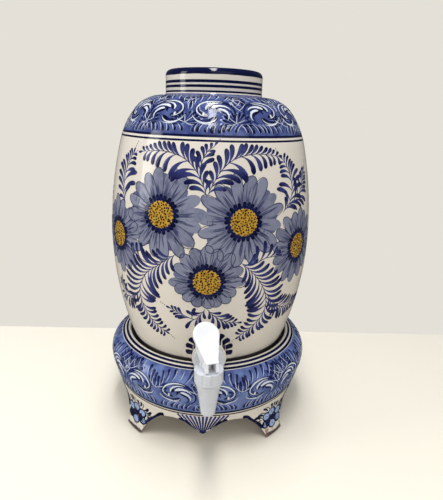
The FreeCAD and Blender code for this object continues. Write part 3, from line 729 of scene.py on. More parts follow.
def daisy(coats, ware, azimuth, height, reach, seed, below):
    """A big daisy: washed petals, fine outlines, a ring of dark dabs and a dotted yellow centre. The petal
    that hangs straight down is as long as below says, as a share of the others."""
    dice = random.Random(seed)
    centre = Spot(ware, azimuth, height)
    for index in range(2 * PETALS):
        under = index % 2
        turn = math.pi * (index + dice.uniform(-0.24, 0.24)) / PETALS + 0.13 * seed
        full = reach * dice.uniform(0.93, 1.05) * (1 - (1 - below) * max(-math.sin(turn), 0))
        long = full * (0.86 if under else 1) - PETAL_START
        wide = 6.7 * (reach / 46) ** 0.6 * dice.uniform(0.92, 1.06)
        spot = Spot(ware, azimuth, height, turn)
        path = bent(PETAL_START, 0, dice.uniform(-4, 4), dice.uniform(-9, 9), long)
        if under:
            coats["unders"].lay(spot, path, 0.85 * wide, petal, 9)
            continue
        coats["petals"].lay(spot, path, wide, petal, 9)
        for _ in range(3):
            streak = bent(17.5, dice.uniform(-2.4, 2.4), dice.uniform(-9, 9), 0,
                          dice.uniform(0.3, 0.75) * long)
            coats["streaks"].lay(spot, streak, dice.uniform(0.6, 1.4), crescent, 6)
        if dice.random() < 0.88:
            wider = wide * dice.uniform(0.97, 1.06)
            edge = petal_edge(path, wider, dice.uniform(0, 0.14), dice.uniform(0.84, 1.0))
            beside = Spot(ware, azimuth, height, turn + dice.uniform(-0.03, 0.03))
            coats["outlines"].lay(beside, edge, 0.40, hair, 26)
    for coat, radius in (("rings", 17.2), ("centres", 14.6)):
        coats[coat].lay(centre, bent(-radius, 0, 0, 0, 2 * radius), radius, disc, 16)
    for index in range(RING_DABS):
        turn = 2 * math.pi * (index + dice.uniform(-0.15, 0.15)) / RING_DABS
        dab = bent(13.4, 0, 0, 0, dice.uniform(6.2, 7.6))
        coats["dabs"].lay(Spot(ware, azimuth, height, turn), dab, 2.2, petal, 6)
    for index in range(SEEDS):
        away = 13.2 * math.sqrt((index + 0.5) / SEEDS)
        angle = index * GOLDEN_ANGLE
        x = away * math.cos(angle) + dice.uniform(-0.4, 0.4)
        y = away * math.sin(angle) + dice.uniform(-0.4, 0.4)
        seed_path = bent(x, y - 1.0, 90 + dice.uniform(-50, 50), 10, dice.uniform(1.4, 2.8))
        coats["seeds"].lay(centre, seed_path, dice.uniform(0.75, 1.15), even, 3)


def petal_edge(path, width, near, far):
    """A path round the outside of a petal, from one side of its start to the other."""
    def edge(t):
        t = near + (far - near) * t
        along = math.sin(math.pi * t)
        x, y = path(along)
        return x, y + (1 if t < 0.5 else -1) * width * petal(along)
    return edge


class Scrollwork:
    """A running band of rolled acanthus leaves, kept between two runs of a pot's outline."""

    def __init__(self, coats, ware, low, high, seed):
        self.coats = coats
        self.ware = ware
        self.low = low
        self.high = high
        self.dice = random.Random(seed)
        self.spot = None

    def move(self, azimuth, height, mirrored):
        """Go to a place, in degrees and millimetres."""
        self.spot = Spot(self.ware, math.radians(azimuth), height, mirrored=mirrored)

    def lay(self, coat, path, width, form=comma, steps=8):
        """Lay a stroke unless it would leave the band."""
        runs = [self.spot.run + path(step / 12)[1] * MM for step in range(13)]
        if min(runs) > self.low + width * 0.6 * MM and max(runs) < self.high - width * 0.6 * MM:
            self.coats[coat].lay(self.spot, path, width, form, steps)

    def roll(self, azimuth, height, mirrored, wide, tall):
        """One rolled leaf: its stem, the dark lobes and white crescents in it, and the leaves round it."""
        dice, lay = self.dice, self.lay
        self.move(azimuth, height, mirrored)

        def curl(first, last, start, turn):
            return volute(first * wide, last * wide, start, turn, tall / wide)

        lay("darks", curl(1.04, 0.66, -70, 300), 1.6, crescent, 30)
        lay("lights", curl(0.92, 0.70, 60, 120), 1.0, crescent, 16)
        lay("lights", curl(0.90, 0.66, 190, 90), 0.8, crescent, 12)
        for angle, fat in ((-58, 1.6), (-8, 1.7), (38, 1.2), (118, 0.6), (196, 0.7)):
            lay("leaves", curl(0.84, 0.26, angle, 108), 3.4 * wide / 22)
            form = comma if fat > 1 else crescent
            lay("lights", curl(0.80, 0.34, angle + 24, 84), fat * wide / 22, form)
        lay("lights", bent(-0.42 * wide, -0.24 * tall, 60, 50, 0.2 * wide), 1.3, petal, 5)
        lay("darks", bent(-0.02 * wide, 0.02 * wide, 20, 90, 0.26 * wide), 1.5, comma, 5)
        for index in range(9):
            bearing = math.radians(8 + 20 * index)
            x, y = 1.04 * wide * math.cos(bearing), 1.04 * tall * math.sin(bearing)
            long = dice.uniform(13, 19)
            lean = 64 + 4 * index + dice.uniform(-5, 5)
            lay("mids", bent(x, y, lean - 26, 42, long), dice.uniform(2.3, 2.8), leaf)
            lay("leaves", bent(x, y, lean - 26, 44, long * 0.97), dice.uniform(1.8, 2.1), leaf)
            lay("lights", bent(x + 1.4, y, lean - 30, 42, long * 0.8), 0.32, crescent)

    def fringe(self, azimuth, height, mirrored, wide, drop):
        """The comma leaves that hang under a rolled leaf."""
        dice = self.dice
        self.move(azimuth, height, mirrored)
        for index in range(8):
            x = (index - 3.5) * wide / 3.6 + dice.uniform(-0.8, 0.8)
            lean = -146 + dice.uniform(-10, 10)
            long = dice.uniform(10, 14)
            for coat, right, up, part, width, form in (
                    ("mids", 0.6, 0.5, 1, 2.7, comma), ("leaves", 0.55, 0.42, 0.86, 2.2, comma),
                    ("lights", 0.7, 0.46, 0.9, 0.32, crescent)):
                self.lay(coat, bent(x + long * right, up * long - drop, lean, 60, long * part), width, form)

    def plume(self, azimuth, height, mirrored, heading, spread, count, long):
        """A fan of long leaves with dark round tips."""
        self.move(azimuth, height, mirrored)
        for index in range(count):
            share = index / (count - 1)
            lean = heading + spread * (share - 0.5)
            reach = long * (0.66 + 0.34 * abs(math.cos(math.radians(lean)))) * self.dice.uniform(0.94, 1.06)
            curl = 40 * (0.5 - share) * 2
            width = 0.075 * reach + 1.0
            self.lay("mids", bent(0, 0, lean, curl, reach), width * 1.1, petal, 9)
            self.lay("leaves", bent(1.2, 0, lean, curl * 0.9, reach * 0.92), width * 0.74, comma, 9)
            if index % 3 == 1:
                vein = bent(0.4, 0, lean + spread / count / 2, curl, reach * 0.6)
                self.lay("lights", vein, 0.34, hair, 8)


def posy(coats, ware, azimuth, height, dice):
    """The small flower on a foot, with its leaves and tendrils."""
    def at(angle=0.0, side=0):
        """A place on the flower, which is painted wider than tall."""
        return Spot(ware, azimuth, height, math.radians(angle), mirrored=side < 0, stretch=1.45)

    for index in range(6):
        spot = at(30 + 60 * index + dice.uniform(-6, 6))
        wide = 1 + 0.45 * abs(spot.sin)
        coats["rims"].lay(spot, bent(2.6, 0, 0, 0, 11.4), 5.5 * wide, disc, 10)
        coats["petals"].lay(spot, bent(4.9, 0.2, 0, 0, 7.8), 3.9 * wide, disc, 9)
        coats["lines"].lay(spot, bent(5.6, -0.6, 10, 10, 5.0), 0.3, hair, 5)
    coats["knots"].lay(at(), bent(-3.2, 0, 0, 0, 6.4), 3.4, disc, 8)
    for angle in range(-25, 215, 18):
        spot = at(angle + dice.uniform(-5, 5))
        long = dice.uniform(7, 10)
        coats["knots"].lay(spot, bent(13.2, 0.4, dice.uniform(-30, 0), 50, long), 2.0, comma, 6)
        coats["lines"].lay(spot, bent(12.8, -2.2, dice.uniform(-20, 5), 44, long), 0.6, hair, 6)
    for side in (1, -1):
        spot = Spot(ware, azimuth + side * 25 * MM / FOOT_RADIUS, height + 3)
        coats["lines"].lay(spot, volute(4.8, 1.4, 90 - side * 60, side * 400), 0.6, hair, 18)
        coats["knots"].lay(at(side=side), bent(11.5, -6, -50, 60, 9), 1.8, comma, 6)


# The pieces

# Radius of the hub that an outline is turned round
HUB = 0.001


class CROCK_OT_turn_crock(bpy.types.Operator):
    """Turn the crock, shape the boss for its tap, and glaze both"""

    bl_idname = "crock.turn_crock"
    bl_label = "Turn the crock"

    def execute(self, context):
        sizes, paints = context.scene.crock_sizes, context.scene.paint_colours
        outside = crock_outside(sizes)
        inside = crock_inside(sizes)
        foot = traced([(0.0, 0.101), (0.0806, 0.101), (0.0836, 0.098), tuple(outside[0])])
        outline = foot + outside[1:] + inside[::-1][1:]
        glaze = crock_glaze(paints)
        source = curve_object("crock_outline", [[((point.x - HUB, -point.y, 0), 1) for point in outline]])
        body = grown("crock_ware", source, turning_tree(), Columns=240, Hub=HUB, Paint=glaze)
        outward(body.data)
        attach(body, "crock")
        boss = boss_ware(sizes, outside, glaze)
        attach(boss, "crock")
        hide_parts(*RINGS)
        return {"FINISHED"}


# Distances from the tap's axis: the boss's hole, the edge of its face, its side, and its outer end
BOSS_HOLE, BOSS_FACE, BOSS_SIDE, BOSS_END = 0.0095, 0.017, 0.0185, 0.0365
# Where the boss is cut level, over the stand's rim
BOSS_RIM = 0.1115
BOSS_COLUMNS = 160


def boss_depth(away):
    """How far in front of the crock's axis the boss stands, that far from the tap's axis."""
    if away <= BOSS_FACE:
        return 0.120
    if away <= BOSS_SIDE:
        return 0.1165 + 0.0035 * math.sqrt(max(1 - ((away - BOSS_FACE) / 0.0035) ** 2, 0))
    if away <= 0.031:
        return 0.0955 + 0.0205 * (1 - math.sqrt(max(1 - ((0.031 - away) / 0.0152) ** 2, 0)))
    return 0.0955 - 4 * (away - 0.031)


def wall_depth(outside, x, z):
    """How far in front of its axis the crock's wall stands there."""
    for start, end in zip(outside, outside[1:]):
        if start.y <= z <= end.y:
            radius = start.x + (end.x - start.x) * (z - start.y) / (end.y - start.y)
            return math.sqrt(radius ** 2 - x ** 2)
    raise ValueError("the boss leaves the crock's wall")


def boss_ware(sizes, outside, glaze):
    """The boss: it flares into the wall, is cut level over the stand's rim, and has a hole and a pad."""
    across, up = sizes.tap_across, sizes.tap_height
    blend = 0.0016
    skin = [BOSS_END, 0.036, 0.0345, 0.033, 0.0315, 0.030, 0.0285, 0.027, 0.0255, 0.024, 0.0225, 0.0212,
            0.020, 0.0191, BOSS_SIDE, 0.0179, 0.0174, BOSS_FACE, 0.0155, 0.0125, 0.0098, BOSS_HOLE]
    rings = []

    def ring(away):
        """The angle, x and z of each column, that far from the tap's axis."""
        for column in range(BOSS_COLUMNS):
            angle = 2 * math.pi * column / BOSS_COLUMNS
            yield angle, across + away * math.cos(angle), up + away * math.sin(angle)

    for away in skin:
        depth = boss_depth(away)
        points = []
        for angle, x, z in ring(away):
            edge = away if z >= BOSS_RIM else (up - BOSS_RIM) / -math.sin(angle)
            z = max(z, BOSS_RIM)
            wall = wall_depth(outside, x, z)
            lift = max(depth, wall) + blend * math.log(1 + math.exp(-abs(depth - wall) / blend))
            if edge < away:
                brim = boss_depth(edge)
                share = (away - edge) / (BOSS_END - edge)
                lift = max(brim + (wall - 0.0006 - brim) * min(share * 1.6, 1), wall - 0.0006)
            lift += 0.000015
            if away == BOSS_END:
                lift = wall - 0.0012
            if away == BOSS_HOLE:
                lift -= 0.0004
            points.append(Vector((x, -lift, z)))
        rings.append(points)
    for away, depth in ((BOSS_HOLE, 0.112), (BOSS_HOLE, 0.100), (BOSS_HOLE, 0.0885), (0.0100, 0.088),
                        (0.0145, 0.088), (0.0186, 0.088), (0.019, 0.0884), (0.019, None), (BOSS_END, None)):
        points = []
        for angle, x, z in ring(away):
            z = max(z, BOSS_RIM) if away > 0.02 else z
            points.append(Vector((x, -(depth or wall_depth(outside, x, z) - 0.0045), z)))
        rings.append(points)
    faces = []
    for row in range(len(rings)):
        here, below = row * BOSS_COLUMNS, (row + 1) % len(rings) * BOSS_COLUMNS
        for column in range(BOSS_COLUMNS):
            beside = (column + 1) % BOSS_COLUMNS
            faces.append((here + column, here + beside, below + beside, below + column))
    mesh = bpy.data.meshes.new("boss_ware")
    mesh.from_pydata([point for points in rings for point in points], [], faces)
    outward(mesh)
    mesh.materials.append(glaze)
    mesh.shade_smooth()
    mesh.set_sharp_from_angle(angle=math.radians(40))
    return piece("boss_ware", mesh)


class Glaze:
    """A pot's glaze, built up coat by coat over its clouded ground."""

    def __init__(self, name, ground, cloud, wash, pooled, full):
        self.made, net = material(name)
        self.net = net
        self.wobble = 0.0005 * (net.noise(14, 1.0) - 0.5)
        self.up = net.axis("Z") + self.wobble
        self.level = net.vector("MULTIPLY", net.place(), (1, 1, 0))
        self.facing = net.node("ShaderNodeTexCoord", out="Normal")
        self.out = net.vector("DOT_PRODUCT", self.facing, self.level, out="Value") > 0
        self.body = net.mottle(ground, cloud, 22, 3.0, 0.55)
        water = net.noise(90, 3.0, (1, 1, 0.6)) + 0.4 * (net.noise(30) - 0.5)
        self.wash = net.mix(net.ramp(water, 0.25, full), wash, linear(*pooled))

    def cover(self, mask, colour):
        """Lay a colour where the mask is 1."""
        self.body = self.net.mix(mask, self.body, colour)

    def fired(self):
        """The finished material."""
        glazed(self.net, self.body)
        return self.made


# Painted lines as (centre, half width): by height on the crock, by radius on the stand's rim, and by
# height on the stand's side
CROCK_LINES = ((0.3557, 0.0012), (0.3514, 0.0010), (0.4084, 0.0015), (0.4036, 0.0014), (0.3984, 0.0010))
RIM_LINES = ((0.1064, 0.0014), (0.1110, 0.0013))
SIDE_LINES = ((0.0547, 0.0015), (0.0505, 0.0011))
LINE_INK = (22, 28, 74)


def crock_glaze(paints):
    """The crock's glaze: shoulder wash, the wheel's lines, dark lip, and painted shade and bare clay on its
    foot.
    """
    glaze = Glaze("crock_glaze", paints.ground, (222, 215, 206), paints.shoulder, (52, 62, 112), 0.7)
    net, up, out = glaze.net, glaze.up, glaze.out
    flecks = net.ramp(net.noise(420, 2.0), 0.70, 0.78)
    glaze.cover(flecks * 0.25, linear(176, 160, 140))
    shoulder = out * net.ramp(up, 0.3553, 0.3557) * (1 - net.ramp(up, 0.3956, 0.3966))
    glaze.cover(shoulder, glaze.wash)
    lines = net.maths("MINIMUM", net.stripes(up, CROCK_LINES), 1.0) * out
    glaze.cover(lines, net.mottle(paints.navy, LINE_INK, 120, share=0.7))
    lip = net.ramp(up + 0.001 * (net.noise(40) - 0.5), 0.4148, 0.4154)
    glaze.cover(lip, net.mottle(paints.navy, (22, 28, 70), 60, share=0.8))
    # Painted shade: the crock's lowest part, down in the stand, is made dark brown for the shadow in the gap
    shade = (1 - net.ramp(up, 0.1104, 0.1122)) * out
    glaze.cover(shade * 0.9, linear(34, 28, 26))
    bare = 1 - net.ramp(up, 0.0986, 0.0996)
    glaze.cover(bare, net.mottle(paints.clay, (206, 176, 148), 200, 4.0))
    return glaze.fired()


def stand_glaze(paints):
    """The stand's glaze: white rim with two lines, blue band, a double line over the white feet, painted
    shade in the gap where the crock sits, and soles and cuts where the clay shows."""
    glaze = Glaze("stand_glaze", paints.ground, (222, 216, 208), paints.band, (72, 86, 138), 0.75)
    net, up, out = glaze.net, glaze.up, glaze.out
    away = net.vector("LENGTH", glaze.level, out="Value") + glaze.wobble
    band = out * net.ramp(up, 0.0546, 0.0550) * net.ramp(away - (up - 0.105) * 8, 0.1118, 0.1122)
    glaze.cover(band, glaze.wash)
    lines = (up > 0.1) * net.stripes(away, RIM_LINES) + out * net.stripes(up, SIDE_LINES)
    glaze.cover(net.maths("MINIMUM", lines, 1.0), net.mottle(paints.navy, LINE_INK, 120, share=0.7))
    # Painted shade: the inner face of the rim, down in the gap round the crock, is made near black
    gap_shade = (1 - net.ramp(away, 0.1034, 0.1040)) * (up > 0.088) * (1 - net.ramp(up, 0.1080, 0.1092))
    glaze.cover(gap_shade * 0.96, net.mottle(linear(20, 20, 30), (40, 36, 42), 80, 3.0))
    sole = 1 - net.ramp(up + 0.006 * (net.noise(90, 3.0) - 0.5), 0.0052, 0.0066)
    glaze.cover(sole * 0.92, net.mottle(linear(16, 18, 40), (74, 56, 50), 150, 3.0))
    bare = (1 - net.ramp(up, 0.009, 0.016)) * net.ramp(net.noise(130, 4.0), 0.56, 0.62)
    glaze.cover(bare * 0.8, net.mottle(paints.clay, (122, 84, 60), 400, 3.0))
    cut = (up < 0.05) * (1 - net.ramp(net.axis("Z", glaze.facing), -0.6, -0.25))
    worn = net.ramp(net.noise(160, 4.0), 0.35, 0.62)
    glaze.cover(cut, net.mix(worn, linear(58, 56, 84), paints.clay))
    return glaze.fired()


class CROCK_OT_glaze_stand(bpy.types.Operator):
    """Glaze the ring stand, whose shape is the model's own"""

    bl_idname = "crock.glaze_stand"
    bl_label = "Glaze the stand"

    def execute(self, context):
        recoat(stand_glaze(context.scene.paint_colours), "stand")
        return {"FINISHED"}


def recoat(finish, *nodes):
    """Give nodes of the model their finish."""
    for node in nodes:
        materials = frame["nodes"][node].data.materials
        materials.clear()
        materials.append(finish)


# Azimuth in degrees, height and reach in millimetres, seed, and how long the lowest petal is
DAISIES = (
    (-25.3, 278.7, 47, 1, 1.0), (16.2, 274.3, 47, 2, 1.0), (-1.3, 211.9, 40, 3, 0.76),
    (-57.1, 247.1, 42, 4, 1.0), (53.0, 240.3, 42, 5, 1.0))
# A fern's spots, then the reach of its leaves and the bare stretch of its stem, left and right, and how fat
FRONDS = (
    ([(-2.2, 298.7), (-4.2, 310.4), (-8.2, 324.1), (-15, 335.1), (-26, 340), (-39.4, 338.3)],
     (30, 20), (2, 4.5), 1.0),
    ([(-1.9, 300.1), (1.1, 313), (5.4, 325.8), (11.8, 335.3), (22.9, 339.9), (36.7, 337.5)],
     (20, 30), (4.5, 2), 1.0),
    ([(-5.5, 314.9), (-5.6, 328.9), (-2.8, 341.1), (0.6, 346.0)], (15, 15), (9, 12), 1.0),
    ([(-50.7, 282.8), (-53.4, 295.8), (-53.2, 314.7), (-48.5, 334)], (25, 26), (2, 4.5), 0.9),
    ([(39.2, 280.6), (45.4, 292.2), (47.1, 307.4), (44.6, 324), (41.1, 333.3)], (25, 26), (2, 4.5), 0.85),
    ([(42.3, 286.7), (51.8, 292.7), (57.4, 304.2), (62.2, 318.2)], (24, 24), (12, 4.5), 0.8),
    ([(-16.6, 240.3), (-26.5, 225.4), (-34.8, 211.7), (-40.2, 191), (-38.9, 171.9), (-33.7, 155.5),
      (-26.7, 146)], (31, 33), (2, 4.5), 0.8),
    ([(-25.3, 226.9), (-34, 225.7), (-40.2, 230.6), (-45, 235)], (0, 25), (99, 2), 0.9),
    ([(-40.3, 189.7), (-50.6, 175.4), (-58.4, 176.1), (-58.2, 190.3)], (22, 23), (4, 18), 0.8),
    ([(15, 233.2), (23.5, 216.6), (29.7, 198.3), (32.3, 178.7), (29, 160.8), (19.2, 144.4)],
     (33, 31), (2, 4.5), 0.8),
    ([(16.4, 229.2), (22.7, 230.1), (28.9, 235), (36, 235)], (25, 0), (2, 99), 0.9),
    ([(29.8, 197.1), (38.7, 178), (49.7, 167.1), (69.4, 165.8)], (23, 22), (18, 10), 0.72),
    ([(-1.7, 180.9), (-7, 167.7), (-12.4, 170.3), (-19.8, 176.6)], (17, 17), (2, 4.5), 0.9),
    ([(-0.9, 180.9), (2.9, 172.3), (8.4, 165.6), (15, 162.5)], (17, 17), (4.5, 2), 0.9),
    ([(89, 246), (91, 262), (95, 282), (94, 304), (89, 322)], (20, 20), (2, 4.5), 0.95),
    ([(89, 240), (87, 224), (84, 204), (86, 182), (91, 162)], (22, 22), (2, 4.5), 0.95))


class CROCK_OT_paint_flowers(bpy.types.Operator):
    """Paint the daisies round the crock's belly, front and back"""

    bl_idname = "crock.paint_flowers"
    bl_label = "Paint the daisies"

    def execute(self, context):
        sizes, paints = context.scene.crock_sizes, context.scene.paint_colours
        ware = Ware(crock_outside(sizes))
        coats = {name: Coat() for name in ("streaks", "outlines", "dabs", "seeds")}
        coats.update({name: Coat("broad") for name in ("unders", "petals", "rings", "centres")})
        for turn in (0, BACK):
            for azimuth, height, reach, seed, below in DAISIES:
                daisy(coats, ware, math.radians(azimuth + turn), height, reach, seed + turn, below)
        thin, deep, navy = paints.petal, paints.petal_deep, paints.navy
        watery = {"tip": 0.05, "grain": 1.0, "vary": 0.5}
        wash = slip("petal_wash", thin, deep, pool=0.22, heart=0.75, base=0.1, **watery)
        under = slip("under_wash", linear(104, 109, 138), deep, pool=0.2, heart=0.6, base=0.15, **watery)
        streak = slip("streak_wash", deep, thin, tip=0.6, pool=0.2, grain=0.8, base=0.05)
        ink = slip("outline_ink", linear(58, 64, 112), navy, tip=0.3, pool=0, base=0.5)
        ring = slip("ring_slip", paints.cobalt, navy, tip=0.3, pool=0.2, base=0.62)
        paint_coats("daisy", coats, bpy.data.objects["crock_ware"], "crock", (
            ("unders", under, 0.00005, 16), ("petals", wash, 0.00010, 11), ("streaks", streak, 0.00016, 17),
            ("outlines", ink, 0.00022, 12), ("rings", ring, 0.00026, 13),
            ("centres", yolk(paints), 0.00034, 14), ("dabs", ring, 0.00040, 18),
            ("seeds", seed_slip(), 0.00046, 15)))
        return {"FINISHED"}


def yolk(paints):
    """Yellow glaze, dabbed with brown."""
    made, net = material("yolk_glaze")
    dab = net.ramp(net.noise(330, 3.0), 0.48, 0.68)
    glazed(net, net.mix(dab * 0.75, paints.yolk, paints.yolk_deep))
    return made


def seed_slip():
    """Almost black dots on the yellow."""
    made, net = material("seed_slip")
    glazed(net, net.mottle(linear(14, 14, 24), (44, 32, 24), 300))
    return made


# The boss's side, from the edge of its face to its flare: distances from the tap's axis and depths
BOSS_OUTLINE = [(0.0173, 0.1199), (0.0180, 0.1190), (0.0185, 0.1172), (0.0185, 0.1130), (0.0185, 0.1085)]
BOSS_OUTLINE += [(0.0186 + 0.0009 * step, boss_depth(0.0186 + 0.0009 * step)) for step in range(10)]
BOSS_DABS = 16


class CROCK_OT_paint_fronds(bpy.types.Operator):
    """Paint the ferns between the daisies, and the dabs round the tap"""

    bl_idname = "crock.paint_fronds"
    bl_label = "Paint the ferns"

    def execute(self, context):
        sizes, paints = context.scene.crock_sizes, context.scene.paint_colours
        ware = Ware(crock_outside(sizes))
        coats = {"stems": Coat(), "leaves": Coat()}
        for turn in (0, BACK):
            for number, (spots, reaches, bare, fat) in enumerate(FRONDS):
                frond(coats, ware, spots, reaches, bare, fat, number + turn, turn)
        dabs = Coat("broad")
        for index in range(BOSS_DABS):
            angle = 2 * math.pi * (index + 0.5) / BOSS_DABS
            points = []
            for away, depth in BOSS_OUTLINE:
                x, z = sizes.tap_across + away * math.cos(angle), sizes.tap_height + away * math.sin(angle)
                points.append(Vector((x, -max(depth, wall_depth(ware.outline, x, z)), z)))
            if min(point.z for point in points) > BOSS_RIM + 0.0007:
                dabs.trail(points, 4.0, lambda t: (0.62 + 0.38 * t) * even(t))
        green = slip("leaf_slip", linear(72, 80, 140), linear(17, 20, 64), pool=0.2, base=0.4)
        ink = slip("stem_ink", paints.cobalt, paints.navy, tip=0.3, pool=0, base=0.4)
        heavy = slip("dab_slip", paints.navy, linear(14, 17, 56), base=0.3)
        paint_coats("fern", coats, bpy.data.objects["crock_ware"], "crock", (
            ("stems", ink, 0.00012, 21), ("leaves", green, 0.00016, 22)))
        paint_coats("tap", {"dabs": dabs}, bpy.data.objects["boss_ware"], "crock", (
            ("dabs", heavy, 0.00016, 23),))
        return {"FINISHED"}


class CROCK_OT_paint_shoulder(bpy.types.Operator):
    """Paint the scroll band round the crock's shoulder"""

    bl_idname = "crock.paint_shoulder"
    bl_label = "Paint the shoulder"

    def execute(self, context):
        sizes, paints = context.scene.crock_sizes, context.scene.paint_colours
        ware = Ware(crock_outside(sizes))
        coats = {name: Coat() for name in ("mids", "leaves", "darks", "lights")}
        work = Scrollwork(coats, ware, ware.run_at(0.3560), ware.run_at(0.3947) + 0.002, 7)
        places = [-57, -29.5, -0.5, 33.0, 60.5] + [60.5 + 26.9 * step for step in range(1, 9)]
        for number, azimuth in enumerate(places):
            mirrored = number % 2 == 1
            work.fringe(azimuth, 376.5, mirrored, 22.5, 16.4)
            work.plume(azimuth + 13.5, 368, mirrored, 90, 230, 11, 17)
            work.plume(azimuth + 13.5, 389, mirrored, 60, 200, 9, 13)
            work.roll(azimuth, 377, mirrored, 22.5, 17.0)
        mid = slip("shoulder_mid", linear(112, 127, 174), linear(44, 54, 106), pool=0.2)
        rich = slip("shoulder_slip", linear(48, 58, 110), paints.navy, tip=0.7, pool=0.2, base=0.3)
        dark = slip("shoulder_ink", linear(38, 46, 96), paints.navy, base=0.55)
        white = slip("shoulder_light", paints.light, linear(150, 162, 200), tip=0.15, pool=0.1, base=0.05)
        paint_coats("shoulder", coats, bpy.data.objects["crock_ware"], "crock", (
            ("mids", mid, 0.00008, 34), ("leaves", rich, 0.00013, 31), ("darks", dark, 0.00018, 32),
            ("lights", white, 0.00023, 33)))
        return {"FINISHED"}


def arch(*corners):
    """The cut between two feet, from its middle, through corners in millimetres."""
    return traced([tuple(value * MM for value in corner) for corner in corners], 0.001)


FRONT_ARCH = arch((0, 23), (16.4, 35, 29.9), (34, 41.2, -40), (50, 38, -40), (78, 0, -110))
SIDE_ARCH = arch((0, 20), (16.4, 35, 29.9), (33, 46.5, -60), (52, 44.5, -60), (61.5, 34, -14), (70, 0, -110))
FEET = (-47.7, 44.5, 132.3, 224.5)
FOOT_RADIUS = 0.116
SCROLLS = 16
FAN_TOP = 48.4


def arch_height(cut, reach):
    """Height of the cut that far from its middle, in millimetres."""
    for start, end in zip(cut, cut[1:]):
        if start.x <= abs(reach) * MM <= end.x:
            share = (abs(reach) * MM - start.x) / (end.x - start.x)
            return (start.y + (end.y - start.y) * share) / MM
    return 0.0


def pendant(coats, ware, quarter):
    """The rays of one pendant's fan, and the dark edge of the cuts beside it."""
    cut, flank = ((FRONT_ARCH, 70), (SIDE_ARCH, 66))[quarter % 2]

    def spot_at(reach, height):
        """A point on the stand's outside, that far to the side of the pendant's middle."""
        run = ware.run_at(height * MM)
        turn = math.asin(max(min(reach * MM / ware.at(run).x, 1), -1))
        return ware.point((math.radians(90 * quarter) + STAND_TURN + turn, run))

    focus = arch_height(cut, 0) - 6
    for index in range(-6, 7):
        top = index * 4.9
        share = 0.0
        while focus + (FAN_TOP - focus) * share < arch_height(cut, top * share) + 1.0:
            share += 0.02
        points = []
        for step in range(7):
            part = share + (1 - share) * step / 6
            points.append(spot_at(top * part, focus + (FAN_TOP - focus) * part))
        if share < 0.85:
            coats["fans"].trail(points, 1.5, lambda t: 0.5 + 0.5 * t)
    for start, end, width in ((-28, 28, 1.9), (-flank, -46, 2.6), (46, flank, 2.6)):
        points = []
        for step in range(25):
            reach = start + (end - start) * step / 24
            points.append(spot_at(reach, max(arch_height(cut, reach), 1.0) + width * 0.8))
        coats["knots"].trail(points, width, lambda t: 0.8 + 0.2 * math.sin(9 * t))


class CROCK_OT_paint_stand(bpy.types.Operator):
    """Paint the stand: scroll band, posies on its feet, fans on its pendants and dark cut edges"""

    bl_idname = "crock.paint_stand"
    bl_label = "Paint the stand"

    def execute(self, context):
        paints = context.scene.paint_colours
        ware = Ware(STAND_OUTSIDE)
        names = ("mids", "leaves", "darks", "lights", "petals", "rims", "lines", "knots", "fans")
        coats = {name: Coat() for name in names}
        dice = random.Random(9)
        work = Scrollwork(coats, ware, ware.run_at(0.0552), ware.run_at(0.1060), 8)
        for number in range(SCROLLS):
            azimuth = -15.5 + 360 / SCROLLS * number
            mirrored = number % 2 == 1
            work.fringe(azimuth, 81.5, mirrored, 22.5, 20.0)
            work.plume(azimuth + 11.2, 84, mirrored, 90, 200, 9, 17)
            work.roll(azimuth, 79.5, mirrored, 22.5, 15.5)
        for azimuth in FEET:
            work.plume(azimuth, 90, False, 90, 200, 13, 27)
        for azimuth in FEET:
            posy(coats, ware, math.radians(azimuth), 23.2, dice)
        for quarter in range(4):
            pendant(coats, ware, quarter)
        mid = slip("band_mid", linear(116, 134, 186), linear(50, 64, 122), tip=0.6, pool=0.2, base=0.15)
        rich = slip("band_slip", linear(58, 73, 134), linear(14, 20, 62), tip=0.7, pool=0.2, base=0.3)
        dark = slip("band_ink", linear(42, 52, 108), paints.navy, base=0.5)
        white = slip("band_light", paints.light, linear(168, 180, 212), tip=0.15, pool=0.1, base=0.05)
        pale = slip("posy_wash", linear(158, 180, 216), linear(96, 118, 176), tip=0.1, pool=0.6, grain=0.6)
        ink = slip("posy_ink", paints.cobalt, paints.navy, base=0.6)
        ray = slip("fan_slip", linear(24, 32, 84), linear(66, 78, 138), tip=0.7, pool=0.1)
        layers = {
            "band": (("mids", mid, 0.00008, 47), ("leaves", rich, 0.00013, 41), ("darks", dark, 0.00018, 42),
                     ("lights", white, 0.00023, 43)),
            "posy": (("rims", ink, 0.00008, 49), ("petals", pale, 0.00014, 44), ("lines", ink, 0.00018, 45),
                     ("knots", ink, 0.00022, 48)),
            "pendant": (("fans", ray, 0.00012, 46),),
        }
        for motif, coated in layers.items():
            paint_coats(motif, coats, frame["nodes"]["stand"], "stand", coated)
        return {"FINISHED"}


